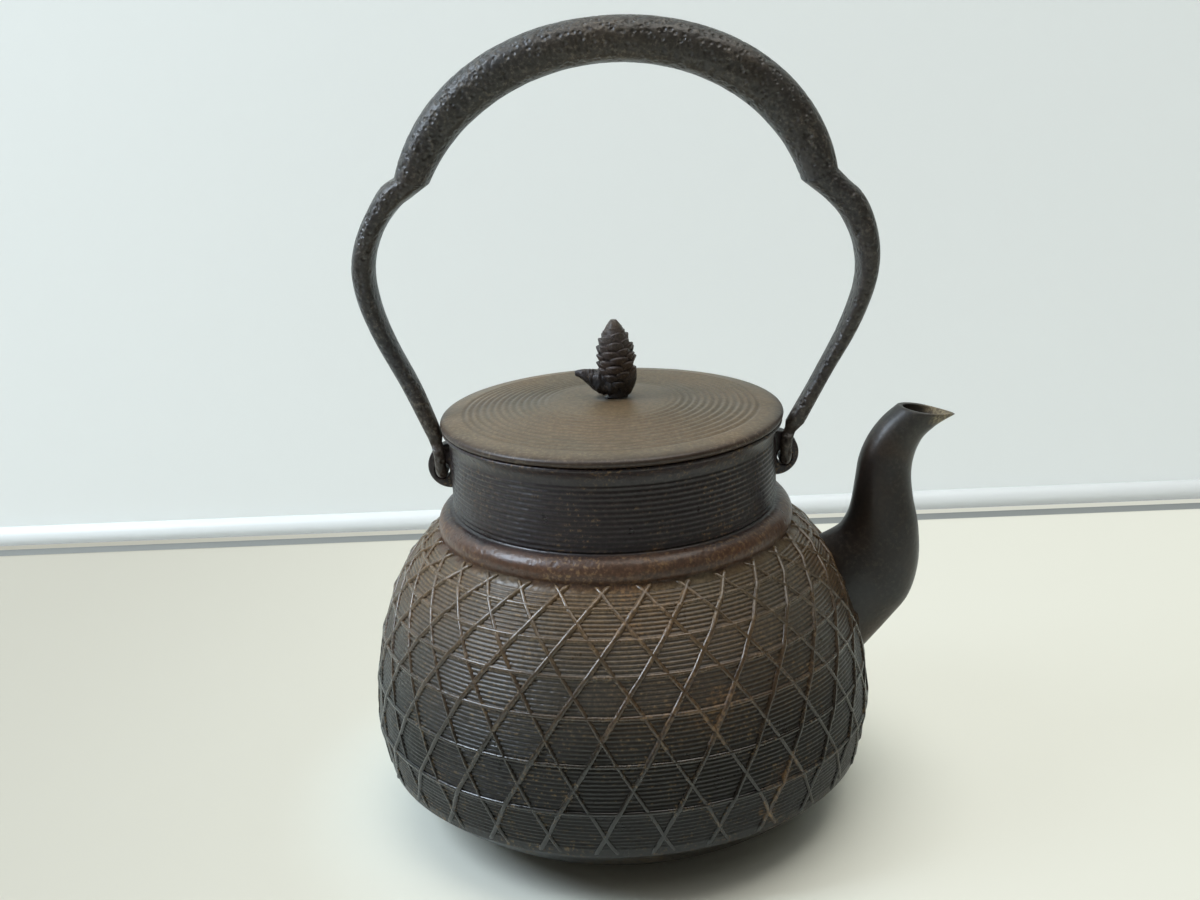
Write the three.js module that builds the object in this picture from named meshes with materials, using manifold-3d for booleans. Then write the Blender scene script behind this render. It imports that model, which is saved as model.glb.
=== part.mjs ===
// Cast iron kettle: a round-bellied body with a ribbed neck, a curved spout and two ears, with a
// grooved lid, a pine-cone knob and a forged ogee handle hooked into the ears. The real body is one
// casting. Here its base, belly, shoulder, neck and spout are a node each, so that collision stays
// hollow.
// Millimetres, +Z up, +X towards the spout. The origin is the centre of the flat base.
import * as THREE from 'three';
import Module from 'manifold-3d';
import { mergeVertices } from 'three/addons/utils/BufferGeometryUtils.js';

const wasm = await Module();
wasm.setup();

// Belly. Its outside is turned in flat bands, one to each row of the woven relief, and the sizes
// are taken over that relief.
const baseRadius = 46;          // flat the kettle stands on
const bellyRadius = 84.8;       // at the widest band edge
const widestHeight = 33;        // height of the widest point above the base
const shoulderRadius = 52;      // where the shoulder's curve runs out under the neck
const shoulderHeight = 100;     // height at which the shoulder's curve runs out
const bandEdges = [0.048, 0.27, 0.481, 0.648, 0.788, 0.9, 0.98];  // shares of the way up to there
const shoulderBandEdge = 4;     // which of those edges, from 0, parts the shoulder's node off
const heelHeight = 20.5;        // lower edge of the lowest band
const heelInset = 2.6;          // how far the heel lies inside the widest radius
const wall = 3;                 // iron thickness of the belly, relief and all
const floorThickness = 3.5;
const edgeBreak = 0.5;          // rounding of turned edges, here and on the lid

// Woven relief. Strands climb the belly both ways, cross half way up each band and stand in even
// steps along its edges.
const strandsEachWay = 30;
const strandTurn = 4.36;        // degrees from the front to the first strand on a band edge
const strandWidth = 2.4;
const strandRise = 0.9;
const fallingStrandRise = 0.6;  // the strands that fall towards the right lie lower

// Collar bead, neck and mouth
const collarRadius = 58.8;
const collarSink = 3.4;         // from where the shoulder's curve runs out down to the collar's foot
const collarBottom = shoulderHeight - collarSink;
const collarHeight = 9.2;
const beadHalfHeight = 5.3;     // the bead's lower part dies into the shoulder
const neckRadius = 53.5;        // at the foot of the neck
const neckInnerRadius = 50.3;
const mouthRadius = 55.6;       // top of the hollow flare under the lid
const mouthHeight = 133.2;      // top of the lip, where the lid rests
const lipHeight = 5.8;          // the plain flare above the ribs
const lipEdge = 0.9;            // rounding at the top of the lip
const neckRibCount = 13;
const ribDepth = 0.5;

// Ears and the slot through each
const earRadius = 7.6;
const earCentreHeight = 119.4;
const earThickness = 5;
const earBevel = 0.6;
const earRootSink = 1;          // how deep the ear's root runs into the neck
const slotTopClearance = 1.3;
const slotSeatClearance = 0.5;
const slotSideClearance = 0.45;
const slotRootGap = 0.55;       // iron left between the slot and the neck

// Spout
const spoutWall = 2.9;
const spoutRootHalfWidth = 12;
const spoutMouthHalfWidth = 6.9;
const beakLength = 1.8;
const beakPinch = 0.25;         // narrowing of the mouth towards its beak
const spoutJoint = 0.35;        // seam left between the spout's root and the belly

// Lid
const lidRadius = 56;
const lidThickness = 2.5;
const lidDome = 4;              // rise of the lid's middle above its edge
const lidSeatGap = 0.3;
const lidGrooveCount = 13;
const lidGrooveInner = 18.2;    // radius where the turned grooves start
const lidGrooveOuter = 49.2;
const lidGrooveDepth = 0.4;
const flangeClearance = 0.8;
const flangeWall = 2.2;
const flangeDepth = 6.2;

// Knob, its tang and the washer under the lid
const knobHeight = 26.3;        // from its seat to the tip of the cone
const coneStart = 3.7;          // where the cone rises out of its stub of branch
const coneRadius = 6.3;
const coneOffset = 2.4;         // the cone stands a little to the spout's side of its tang
const coneTipOffset = 1.8;
const scaleRows = 8;
const scalesPerRow = 8;
const scaleDepth = 0.8;
const stubReach = 11.3;         // from the tang to the cut tip of the branch
const stubHeight = 10.4;
const stubHalfWidth = 4.9;
const footRadius = 3.3;
const footHeight = 3;
const tangRadius = 2;
const fitGap = 0.3;             // between pieces that seat on each other
const washerRadius = 6;
const washerThickness = 1.2;
const rivetHeadRadius = 3.4;
const rivetHeadHeight = 1.6;

// Handle. Its two arms were forged by eye and differ: the one over the spout bows out further.
const handleTop = 259.5;        // top of the crown above the base
const crownThickness = 14.1;
const crownHalfSpan = 70;       // half width of the crown's outer curve
const crownRise = 60.5;         // from that curve's centre to its top
const crownFullness = 2.09;     // 2 would be an ellipse
const crownInnerSpan = 62;
const crownInnerRise = 55;
const lobeHalfSpan = 83;        // widest point of the handle, from its middle
const lobeTopHeight = 213.7;    // where the crown breaks into the arms
const armFootHeight = 129.4;    // where the arms end and their hooks begin
const spoutSideGrowth = 1.018;  // how much wider the crown and arm over the spout are
const crownDepth = 19;          // front to back, at the top
const lobeDepth = 17.5;
const armDepth = 14;
const armFootDepth = 6;
const handleLean = 5.2;         // the crown stands this far towards the spout
const crownSquareness = 0.7;    // 1 would be a round section, and less is fuller
const armSquareness = 0.6;
const waistShare = 0.6;         // share of the arm's way down over which its depth changes slowly
const footForward = 0.45;       // share of the hook's stand-off that the arm's foot has reached
const hookRadius = 1.9;
const hookBend = 3.2;           // radius of the hook's bend, along its middle
const hookFrontGap = 1.5;       // free space between the hook and the ear's front
const hookHeight = 117.6;       // height of the hooked rod in the ear
const hookTail = 3.4;           // how far the rod's end stands out behind the ear

// Facets
const bodySegments = 34;
const lidSegments = 30;
const spoutSides = 16;
const handleSides = 10;
const coneSides = 16;
const stubSides = 12;
const smallSides = 18;          // round the washer, the tang and its foot

const iron = (colour, roughness, metalness = 0.6) =>
  new THREE.MeshStandardMaterial({ color: colour, roughness, metalness });
const bodyIron = iron(0x3a332d, 0.62);
const lidIron = iron(0x5a5346, 0.5);
const handleIron = iron(0x3c3734, 0.66);
const knobIron = iron(0x35302d, 0.55);
const washerBrass = iron(0x7a6238, 0.45, 0.8);

// Small helpers

const mix = THREE.MathUtils.lerp;

function arc(centreX, centreY, radiusX, radiusY, fromDegrees, toDegrees, steps) {
  const points = [];
  for (let i = 0; i <= steps; i += 1) {
    const angle = THREE.MathUtils.degToRad(mix(fromDegrees, toDegrees, i / steps));
    points.push(new THREE.Vector2(centreX + radiusX * Math.cos(angle), centreY + radiusY * Math.sin(angle)));
  }
  return points;
}

// Merges shared corners and drops the slivers that a revolve leaves on its axis.
function weld(geometry) {
  const bare = geometry.clone();
  for (const name of Object.keys(bare.attributes)) {
    if (name !== 'position') bare.deleteAttribute(name);
  }
  bare.clearGroups();
  const merged = mergeVertices(bare, 1e-4);
  const index = merged.index.array;
  const kept = [];
  for (let i = 0; i < index.length; i += 3) {
    const [a, b, c] = [index[i], index[i + 1], index[i + 2]];
    if (a !== b && b !== c && c !== a) kept.push(a, b, c);
  }
  merged.setIndex(kept);
  return merged;
}

function volumeOf(geometry) {
  const position = geometry.attributes.position;
  const index = geometry.index.array;
  const [a, b, c] = [new THREE.Vector3(), new THREE.Vector3(), new THREE.Vector3()];
  let volume = 0;
  for (let i = 0; i < index.length; i += 3) {
    a.fromBufferAttribute(position, index[i]);
    b.fromBufferAttribute(position, index[i + 1]);
    c.fromBufferAttribute(position, index[i + 2]);
    volume += a.dot(b.cross(c)) / 6;
  }
  return volume;
}

function facingOut(geometry) {
  const welded = weld(geometry);
  if (volumeOf(welded) < 0) {
    const index = Array.from(welded.index.array);
    for (let i = 0; i < index.length; i += 3) [index[i], index[i + 1]] = [index[i + 1], index[i]];
    welded.setIndex(index);
  }
  return welded;
}

// Turns a profile of (radius, height) points about the Z axis.
function revolve(profile, segments) {
  const turned = new THREE.LatheGeometry(profile, segments);
  turned.rotateX(Math.PI / 2);
  return facingOut(turned);
}

// Skins a row of rings, each with the same number of points, and closes both ends. Where two rings
// share their outline already, no skin is laid between them.
function loft(rings, isSkinned = () => true) {
  const sides = rings[0].length;
  const points = rings.flat();
  const faces = [];
  for (let i = 0; i + 1 < rings.length; i += 1) {
    for (let j = 0; j < sides && isSkinned(i); j += 1) {
      const next = (j + 1) % sides;
      const [a, b] = [i * sides + j, i * sides + next];
      faces.push(a, b, a + sides, b, b + sides, a + sides);
    }
  }
  for (const end of [0, rings.length - 1]) {
    const centre = rings[end].reduce((sum, p) => sum.add(p), new THREE.Vector3()).divideScalar(sides);
    const hub = points.push(centre) - 1;
    for (let j = 0; j < sides; j += 1) {
      const [a, b] = [end * sides + j, end * sides + (j + 1) % sides];
      faces.push(...(end === 0 ? [hub, b, a] : [hub, a, b]));
    }
  }
  const skin = new THREE.BufferGeometry().setFromPoints(points);
  skin.setIndex(faces);
  return facingOut(skin);
}

function solid(geometry) {
  const welded = facingOut(geometry);
  return new wasm.Manifold(new wasm.Mesh({
    numProp: 3,
    vertProperties: new Float32Array(welded.attributes.position.array),
    triVerts: new Uint32Array(welded.index.array),
  }));
}

function geometryOf(manifold) {
  const mesh = manifold.getMesh();
  const geometry = new THREE.BufferGeometry();
  geometry.setAttribute('position', new THREE.BufferAttribute(mesh.vertProperties, 3));
  geometry.setIndex(new THREE.BufferAttribute(mesh.triVerts, 1));
  return geometry;
}

// Kettle body

const heelRadius = bellyRadius - heelInset;

// From the heel down and in to the flat base, outside or inside the wall.
function undersideCurve(heel, flatRadius, flatHeight, steps) {
  const corner = new THREE.Vector2(heel.x - (heel.y - flatHeight), flatHeight);
  const flatEdge = new THREE.Vector2(flatRadius, flatHeight);
  return new THREE.QuadraticBezierCurve(heel, corner, flatEdge).getPoints(steps);
}

const outerHeel = new THREE.Vector2(heelRadius, heelHeight);
const innerHeel = new THREE.Vector2(heelRadius - wall * 1.2, heelHeight);
const neckFoot = collarBottom + collarHeight;

// The band edges as points of the outline, from the one under the collar down to the heel.
const edgePoints = [outerHeel, ...bandEdges.map((share) => new THREE.Vector2(
  shoulderRadius + (bellyRadius - shoulderRadius) * Math.sqrt(1 - share ** 2),
  mix(widestHeight, shoulderHeight, share),
))].reverse();

function baseProfile() {
  const underside = undersideCurve(outerHeel, baseRadius, 0, 5).reverse();
  const inside = undersideCurve(innerHeel, baseRadius - wall * 0.7, floorThickness, 4);
  return [new THREE.Vector2(0, 0), ...underside, ...inside, new THREE.Vector2(0, floorThickness)];
}

const strandPitch = Math.PI / strandsEachWay;   // from one strand to the next along a band edge

// A point of the relief at a number of pitches round the belly.
function weavePoint(pitches, radius, height) {
  const angle = THREE.MathUtils.degToRad(strandTurn) + strandPitch * pitches;
  return new THREE.Vector3(radius * Math.sin(angle), -radius * Math.cos(angle), height);
}

// The ring at a band edge. Three points make a strand: its foot, crest and other foot. The first
// and last edge are plain, and the last is the heel.
function edgeRing(row, growth) {
  const { x: crest, y: height } = edgePoints[row];
  const last = edgePoints.length - 1;
  const ground = crest + growth - (row < last ? strandRise : 0);
  const foot = strandWidth / 2 / crest / strandPitch;
  const ring = [];
  for (let slot = 0; slot < 2 * strandsEachWay; slot += 1) {
    const falling = (slot + row) % 2 === 0;
    const rise = falling ? fallingStrandRise : strandRise;
    const isPlain = row === 0 || row === last;
    ring.push(...(isPlain ? [0, 0, 0] : [-foot, 0, foot]).map((shift) => (
      weavePoint(slot + shift, ground + (shift === 0 && !isPlain ? rise : 0), height))));
  }
  return ring;
}

// The ring half way down a band, where each falling strand meets the rising strand on its right.
// Between the two lies the tip of the small cell that they close, towards the given edge.
function crossingRing(row, cellEdge, growth) {
  const place = edgePoints[row].clone().lerp(edgePoints[row + 1], 0.5);
  const crest = place.x + growth;
  const foot = strandWidth / 2 / place.x / strandPitch;
  const tip = place.clone().lerp(edgePoints[cellEdge], 2 * foot);
  const ring = [];
  for (let slot = row % 2; slot < row % 2 + 2 * strandsEachWay; slot += 2) {
    const middle = slot + 0.5;
    const cellTip = weavePoint(middle, tip.x + growth - strandRise, tip.y);
    const crossing = weavePoint(middle, crest, place.y);
    const [left, right] = [-foot, foot].map((shift) => (
      weavePoint(middle + shift, crest - strandRise, place.y)));
    ring.push(left, crossing, cellTip, cellTip, crossing, right);
  }
  // On every other band the pairs start one strand later, so the last point triple comes first.
  return row % 2 === 0 ? ring : [...ring.slice(-3), ...ring.slice(0, -3)];
}

// The belly with its relief, as a solid from the heel to the collar, grown by a seam or not.
function wovenBarrel(growth) {
  const rings = [edgeRing(0, growth)];
  for (let row = 0; row + 1 < edgePoints.length; row += 1) {
    rings.push(crossingRing(row, row, growth), crossingRing(row, row + 1, growth));
    rings.push(edgeRing(row + 1, growth));
  }
  return solid(loft(rings, (ring) => ring % 3 !== 1));
}

// The collar bead and the disc it rings, which the kettle's inside then opens.
function collarDisc() {
  const middle = neckFoot - beadHalfHeight;
  const start = THREE.MathUtils.radToDeg(Math.asin((edgePoints[0].y - middle) / beadHalfHeight));
  const bead = arc(neckRadius, middle, collarRadius - neckRadius, beadHalfHeight, start, 78, 5);
  return solid(revolve([
    new THREE.Vector2(0, edgePoints[0].y),
    ...bead,
    new THREE.Vector2(neckRadius, neckFoot),
    new THREE.Vector2(0, neckFoot),
  ], bodySegments));
}

// The hollow of the belly. It runs past both ends, so that it opens them.
function bellyHollow() {
  const inside = arc(shoulderRadius, widestHeight, bellyRadius - shoulderRadius - wall,
    shoulderHeight - widestHeight - wall, 90, 0, 6).slice(1);
  return solid(revolve([
    new THREE.Vector2(0, neckFoot + wall),
    new THREE.Vector2(neckInnerRadius, neckFoot + wall),
    new THREE.Vector2(neckInnerRadius, shoulderHeight),
    ...inside,
    innerHeel,
    new THREE.Vector2(innerHeel.x, heelHeight - wall),
    new THREE.Vector2(0, heelHeight - wall),
  ], bodySegments));
}

function neckProfile() {
  const ribTop = mouthHeight - lipHeight;
  const pitch = (ribTop - neckFoot) / neckRibCount;
  const points = [new THREE.Vector2(neckInnerRadius, neckFoot), new THREE.Vector2(neckRadius, neckFoot)];
  for (let i = 0; i < neckRibCount; i += 1) {
    points.push(new THREE.Vector2(neckRadius - ribDepth, neckFoot + pitch * (i + 0.15)));
    points.push(new THREE.Vector2(neckRadius, neckFoot + pitch * (i + 0.65)));
  }
  for (const share of [0.05, 0.4, 0.65, 0.85, 1]) {
    const radius = mix(neckRadius, mouthRadius, share ** 2);
    points.push(new THREE.Vector2(radius, mix(ribTop, mouthHeight - lipEdge, share)));
  }
  points.push(
    new THREE.Vector2(mouthRadius - edgeBreak, mouthHeight),
    new THREE.Vector2(neckInnerRadius + edgeBreak, mouthHeight),
    new THREE.Vector2(neckInnerRadius, mouthHeight - edgeBreak),
    new THREE.Vector2(neckInnerRadius, neckFoot),
  );
  return points;
}

// The spout's stations: the point on its upper edge, the point on its lower edge, both measured
// from the belly's widest point, and how far along its change of width the station lies.
const spoutStations = [
  { upper: [-17, 55.5], lower: [-6.5, 9.5], taper: 0 },
  { upper: [-10.1, 59], lower: [7.2, 25.3], taper: 0.08 },
  { upper: [-7.5, 62.5], lower: [14, 34.3], taper: 0.2 },
  { upper: [-6, 66.5], lower: [17, 46], taper: 0.34 },
  { upper: [-5.1, 71.5], lower: [16.7, 58.5], taper: 0.48 },
  { upper: [-4.3, 77], lower: [14.7, 69], taper: 0.62 },
  { upper: [-3.5, 82.2], lower: [13.9, 77.2], taper: 0.74 },
  { upper: [-1.9, 87], lower: [14.9, 84], taper: 0.83 },
  { upper: [0.8, 92], lower: [17.5, 89.6], taper: 0.9 },
  { upper: [4.5, 96.6], lower: [21.3, 93.2], taper: 0.96 },
  { upper: [8.9, 100.3], lower: [26.1, 97], taper: 1 },
];

function spoutRing(station, inset, beak) {
  const upper = new THREE.Vector2(...station.upper);
  const lower = new THREE.Vector2(...station.lower);
  const middle = upper.clone().add(lower).multiplyScalar(0.5);
  const half = lower.clone().sub(middle);
  const halfWidth = mix(spoutRootHalfWidth, spoutMouthHalfWidth, station.taper) - inset;
  const stretch = (half.length() - inset) / half.length();
  const ring = [];
  for (let i = 0; i < spoutSides; i += 1) {
    const angle = (2 * Math.PI * i) / spoutSides;
    const along = Math.cos(angle);
    const tip = beak * Math.max(0, along) ** 6;
    const reach = along * stretch + tip / half.length();
    ring.push(new THREE.Vector3(
      bellyRadius + middle.x + half.x * reach,
      halfWidth * Math.sin(angle) * (1 - beakPinch * Math.sign(beak) * Math.max(0, along)),
      widestHeight + middle.y + half.y * reach,
    ));
  }
  return ring;
}

const moved = (ring, x, z) => ring.map((p) => new THREE.Vector3(p.x + x, p.y, p.z + z));

function spoutOutside() {
  const last = spoutStations.length - 1;
  const rings = spoutStations.map((station, i) => spoutRing(station, 0, i === last ? beakLength : 0));
  return loft([moved(rings[0], -wall, -1), ...rings]);
}

function spoutBore() {
  const rings = spoutStations.map((station) => spoutRing(station, spoutWall, 0));
  const end = rings[rings.length - 1];
  return loft([moved(rings[0], -4 * wall, -wall), ...rings, moved(end, 1, 2)]);
}

// Half-round ear with its slot, standing off the neck at one side.
function ear(side) {
  const root = neckRadius - earRootSink;
  const slotCentre = hookOffset();
  const slotHalfWidth = hookRadius + slotSideClearance;
  const slotBottom = hookHeight - hookRadius - slotSeatClearance + slotHalfWidth;
  const slotTop = hookHeight + hookRadius + slotTopClearance - slotHalfWidth;
  const outline = new THREE.Shape();
  outline.moveTo(root, earCentreHeight - earRadius + earBevel);
  outline.lineTo(neckRadius, earCentreHeight - earRadius + earBevel);
  outline.absarc(neckRadius, earCentreHeight, earRadius - earBevel, -Math.PI / 2, Math.PI / 2, false);
  outline.lineTo(root, earCentreHeight + earRadius - earBevel);
  outline.closePath();
  const slot = new THREE.Path();
  slot.absarc(slotCentre, slotBottom, slotHalfWidth + earBevel, Math.PI, 2 * Math.PI, false);
  slot.absarc(slotCentre, slotTop, slotHalfWidth + earBevel, 0, Math.PI, false);
  slot.closePath();
  outline.holes.push(slot);
  const plate = new THREE.ExtrudeGeometry(outline, {
    depth: earThickness - 2 * earBevel,
    bevelThickness: earBevel,
    bevelSize: earBevel,
    bevelSegments: 1,
    curveSegments: 6,
  });
  plate.translate(0, 0, earBevel - earThickness / 2);
  plate.rotateX(Math.PI / 2);
  if (side < 0) plate.rotateZ(Math.PI);
  return plate;
}

// Distance of each hooked rod from the kettle's middle: just clear of the neck.
function hookOffset() {
  return neckRadius + slotRootGap + slotSideClearance + hookRadius;
}

// The belly with the spout's hole in it, cut level at one band edge: the part above, then the rest.
function bellyParts() {
  const whole = wovenBarrel(0).add(collarDisc()).subtract(bellyHollow()).subtract(solid(spoutBore()));
  const cutHeight = mix(widestHeight, shoulderHeight, bandEdges[shoulderBandEdge]);
  return whole.splitByPlane([0, 0, 1], cutHeight).map(geometryOf);
}

function kettleNeck() {
  const ring = solid(revolve(neckProfile(), bodySegments));
  return geometryOf(ring.add(solid(ear(1))).add(solid(ear(-1))));
}

// The spout is trimmed by the belly and its relief, grown by the seam.
function kettleSpout() {
  return geometryOf(solid(spoutOutside()).subtract(wovenBarrel(spoutJoint)).subtract(solid(spoutBore())));
}

// Lid

const lidUnderside = mouthHeight + lidSeatGap;
const lidEdgeTop = lidUnderside + lidThickness;
const lidCrownTop = lidEdgeTop + lidDome;
const lidCentreUnderside = lidUnderside + lidDome;
const lidTopAt = (radius) => lidCrownTop - lidDome * (radius / lidRadius) ** 2;

function lidProfile() {
  const holeRadius = tangRadius + fitGap;
  const flangeOuter = neckInnerRadius - flangeClearance;
  const flangeInner = flangeOuter - flangeWall;
  const pitch = (lidGrooveOuter - lidGrooveInner) / lidGrooveCount;
  const points = [new THREE.Vector2(holeRadius, lidCrownTop)];
  for (let i = 0; i < lidGrooveCount; i += 1) {
    const crest = lidGrooveInner + pitch * i;
    const groove = crest + pitch * 0.6;
    points.push(new THREE.Vector2(crest, lidTopAt(crest)));
    points.push(new THREE.Vector2(groove, lidTopAt(groove) - lidGrooveDepth));
  }
  points.push(
    new THREE.Vector2(lidGrooveOuter, lidTopAt(lidGrooveOuter)),
    new THREE.Vector2(lidRadius - edgeBreak, lidTopAt(lidRadius - edgeBreak)),
    new THREE.Vector2(lidRadius, lidEdgeTop - edgeBreak),
    new THREE.Vector2(lidRadius, lidUnderside + edgeBreak),
    new THREE.Vector2(lidRadius - edgeBreak, lidUnderside),
    new THREE.Vector2(flangeOuter, lidUnderside),
    new THREE.Vector2(flangeOuter, lidUnderside - flangeDepth + edgeBreak),
    new THREE.Vector2(flangeOuter - edgeBreak, lidUnderside - flangeDepth),
    new THREE.Vector2(flangeInner, lidUnderside - flangeDepth),
    ...[1, 0.7, 0.4].map((share) => {
      const radius = (flangeInner - edgeBreak) * share;
      return new THREE.Vector2(radius, lidTopAt(radius) - lidThickness);
    }),
    new THREE.Vector2(holeRadius, lidCentreUnderside),
    new THREE.Vector2(holeRadius, lidCrownTop),
  );
  return points;
}

function knobWasher() {
  const top = lidCentreUnderside - fitGap;
  const hole = tangRadius + fitGap;
  const profile = [
    [hole, top], [washerRadius - edgeBreak, top], [washerRadius, top - edgeBreak],
    [washerRadius, top - washerThickness], [hole, top - washerThickness], [hole, top],
  ].map(([radius, height]) => new THREE.Vector2(radius, height));
  return revolve(profile, smallSides);
}

// Knob: a closed pine cone on a stub of its branch

const knobSeat = lidCrownTop + fitGap;

// Share of the cone's radius at shares of its height.
const coneOutline = [[0, 0.85], [0.2, 0.97], [0.45, 1], [0.56, 0.99], [0.66, 0.89], [0.75, 0.79],
  [0.84, 0.69], [0.92, 0.54], [1, 0.2]];

// The stub's cross sections: how far along from the cut tip, then its underside, top and half width
// as shares of the stub's height and half width.
const stubSections = [
  [0, 0.7, 0.87, 0.18], [0.08, 0.62, 0.91, 0.33], [0.2, 0.41, 0.91, 0.51], [0.31, 0.19, 0.9, 0.67],
  [0.43, 0.08, 0.92, 0.84], [0.58, 0.01, 0.96, 0.96], [0.73, 0.01, 0.98, 1], [0.86, 0.04, 1, 0.92],
  [0.95, 0.25, 0.98, 0.69], [1, 0.54, 0.94, 0.39],
];

function lookUp(table, share) {
  const next = Math.max(1, table.findIndex(([place]) => place >= share));
  const [[placeA, valueA], [placeB, valueB]] = [table[next - 1], table[next]];
  return mix(valueA, valueB, (share - placeA) / (placeB - placeA));
}

// Height of one scale's face above the cone, at a place along and around it.
function scaleRelief(along, around) {
  const row = along * scaleRows;
  const across = around * scalesPerRow + (Math.floor(row) % 2) * 0.5;
  const rise = row - Math.floor(row);
  const side = Math.abs(across - Math.floor(across) - 0.5) * 2;
  return scaleDepth * rise * (1 - side ** 2);
}

function pineCone() {
  const ringCount = scaleRows * 2;
  const rings = [];
  for (let i = 0; i <= ringCount; i += 1) {
    const along = i / ringCount;
    const ring = [];
    for (let j = 0; j < coneSides; j += 1) {
      const around = j / coneSides;
      const relief = scaleRelief(Math.max(0, along - 0.002), around);
      const radius = coneRadius * lookUp(coneOutline, along) + relief;
      const angle = 2 * Math.PI * around;
      ring.push(new THREE.Vector3(
        mix(coneOffset, coneTipOffset, along) + radius * Math.cos(angle),
        radius * Math.sin(angle),
        knobSeat + mix(coneStart, knobHeight, along),
      ));
    }
    rings.push(ring);
  }
  return loft(rings);
}

// The branch's stub that the cone grows from, lying across the lid with its cut tip on the left.
function branchStub() {
  const length = stubReach + coneOffset + coneRadius;
  return loft(stubSections.map(([place, low, high, halfWidth]) => {
    const ring = [];
    for (let j = 0; j < stubSides; j += 1) {
      const angle = (2 * Math.PI * j) / stubSides;
      ring.push(new THREE.Vector3(
        -stubReach + length * place,
        stubHalfWidth * halfWidth * Math.cos(angle),
        knobSeat + stubHeight * mix(low, high, 0.5 + 0.5 * Math.sin(angle)),
      ));
    }
    return ring;
  }));
}

// Tang and the peened end that holds the washer.
function knobTang() {
  const headTop = lidCentreUnderside - fitGap - washerThickness - fitGap;
  const profile = [
    [0, headTop - rivetHeadHeight], [rivetHeadRadius * 0.7, headTop - rivetHeadHeight * 0.75],
    [rivetHeadRadius, headTop - 0.3], [rivetHeadRadius, headTop], [tangRadius, headTop],
    [tangRadius, knobSeat + footHeight], [0, knobSeat + footHeight],
  ].map(([radius, height]) => new THREE.Vector2(radius, height));
  return revolve(profile, smallSides);
}

// The flat foot that the stub stands on.
function knobFoot() {
  const foot = new THREE.CylinderGeometry(footRadius * 1.15, footRadius, footHeight, smallSides);
  foot.rotateX(Math.PI / 2);
  foot.translate(coneOffset, 0, knobSeat + footHeight / 2);
  return foot;
}

function lidKnob() {
  const stub = solid(branchStub()).add(solid(knobFoot()));
  return geometryOf(solid(pineCone()).add(stub).add(solid(knobTang())));
}

// Handle

// One ring of the handle between a point of its outer edge and one of its inner edge.
function handleRing(outer, inner, depth, frontShift, side, squareness) {
  const lean = (height) => handleLean * (height - hookHeight) / (handleTop - hookHeight);
  const middle = outer.clone().add(inner).multiplyScalar(0.5);
  const half = outer.clone().sub(middle);
  const ring = [];
  for (let j = 0; j < handleSides; j += 1) {
    const angle = (2 * Math.PI * (j + 0.5)) / handleSides;
    const [c, s] = [Math.cos(angle) / Math.cos(Math.PI / handleSides), Math.sin(angle)];
    const out = Math.sign(c) * Math.abs(c) ** (c < 0 ? squareness : 0.85);
    const across = Math.sign(s) * Math.abs(s) ** 0.85;
    const height = middle.y + half.y * out;
    ring.push(new THREE.Vector3(
      side * (middle.x + half.x * out) + lean(height),
      frontShift + (depth / 2) * across,
      height,
    ));
  }
  return ring;
}

// Where the crown's two edges end, in degrees from the top, and the arms' edges below: distance
// from the handle's middle as a share of the lobe's half span, and height as a share of the way up
// from the arm's foot to the crown's end.
const farArm = {
  crownEnds: [76.8, 67.9],
  outer: [[0.875, 0.966], [0.923, 0.894], [0.975, 0.788], [1, 0.665], [0.978, 0.529], [0.918, 0.375],
    [0.819, 0.187], [0.731, 0]],
  inner: [[0.747, 0.932], [0.812, 0.883], [0.878, 0.79], [0.911, 0.665], [0.895, 0.529], [0.84, 0.378],
    [0.747, 0.195], [0.673, 0.012]],
};
const spoutArm = {
  crownEnds: [79.3, 71.8],
  outer: [[0.873, 0.925], [0.927, 0.873], [0.973, 0.783], [1, 0.654], [0.986, 0.521], [0.928, 0.358],
    [0.831, 0.183], [0.736, 0]],
  inner: [[0.729, 0.904], [0.783, 0.86], [0.85, 0.788], [0.903, 0.671], [0.911, 0.535], [0.856, 0.363],
    [0.766, 0.187], [0.667, 0.012]],
};

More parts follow.
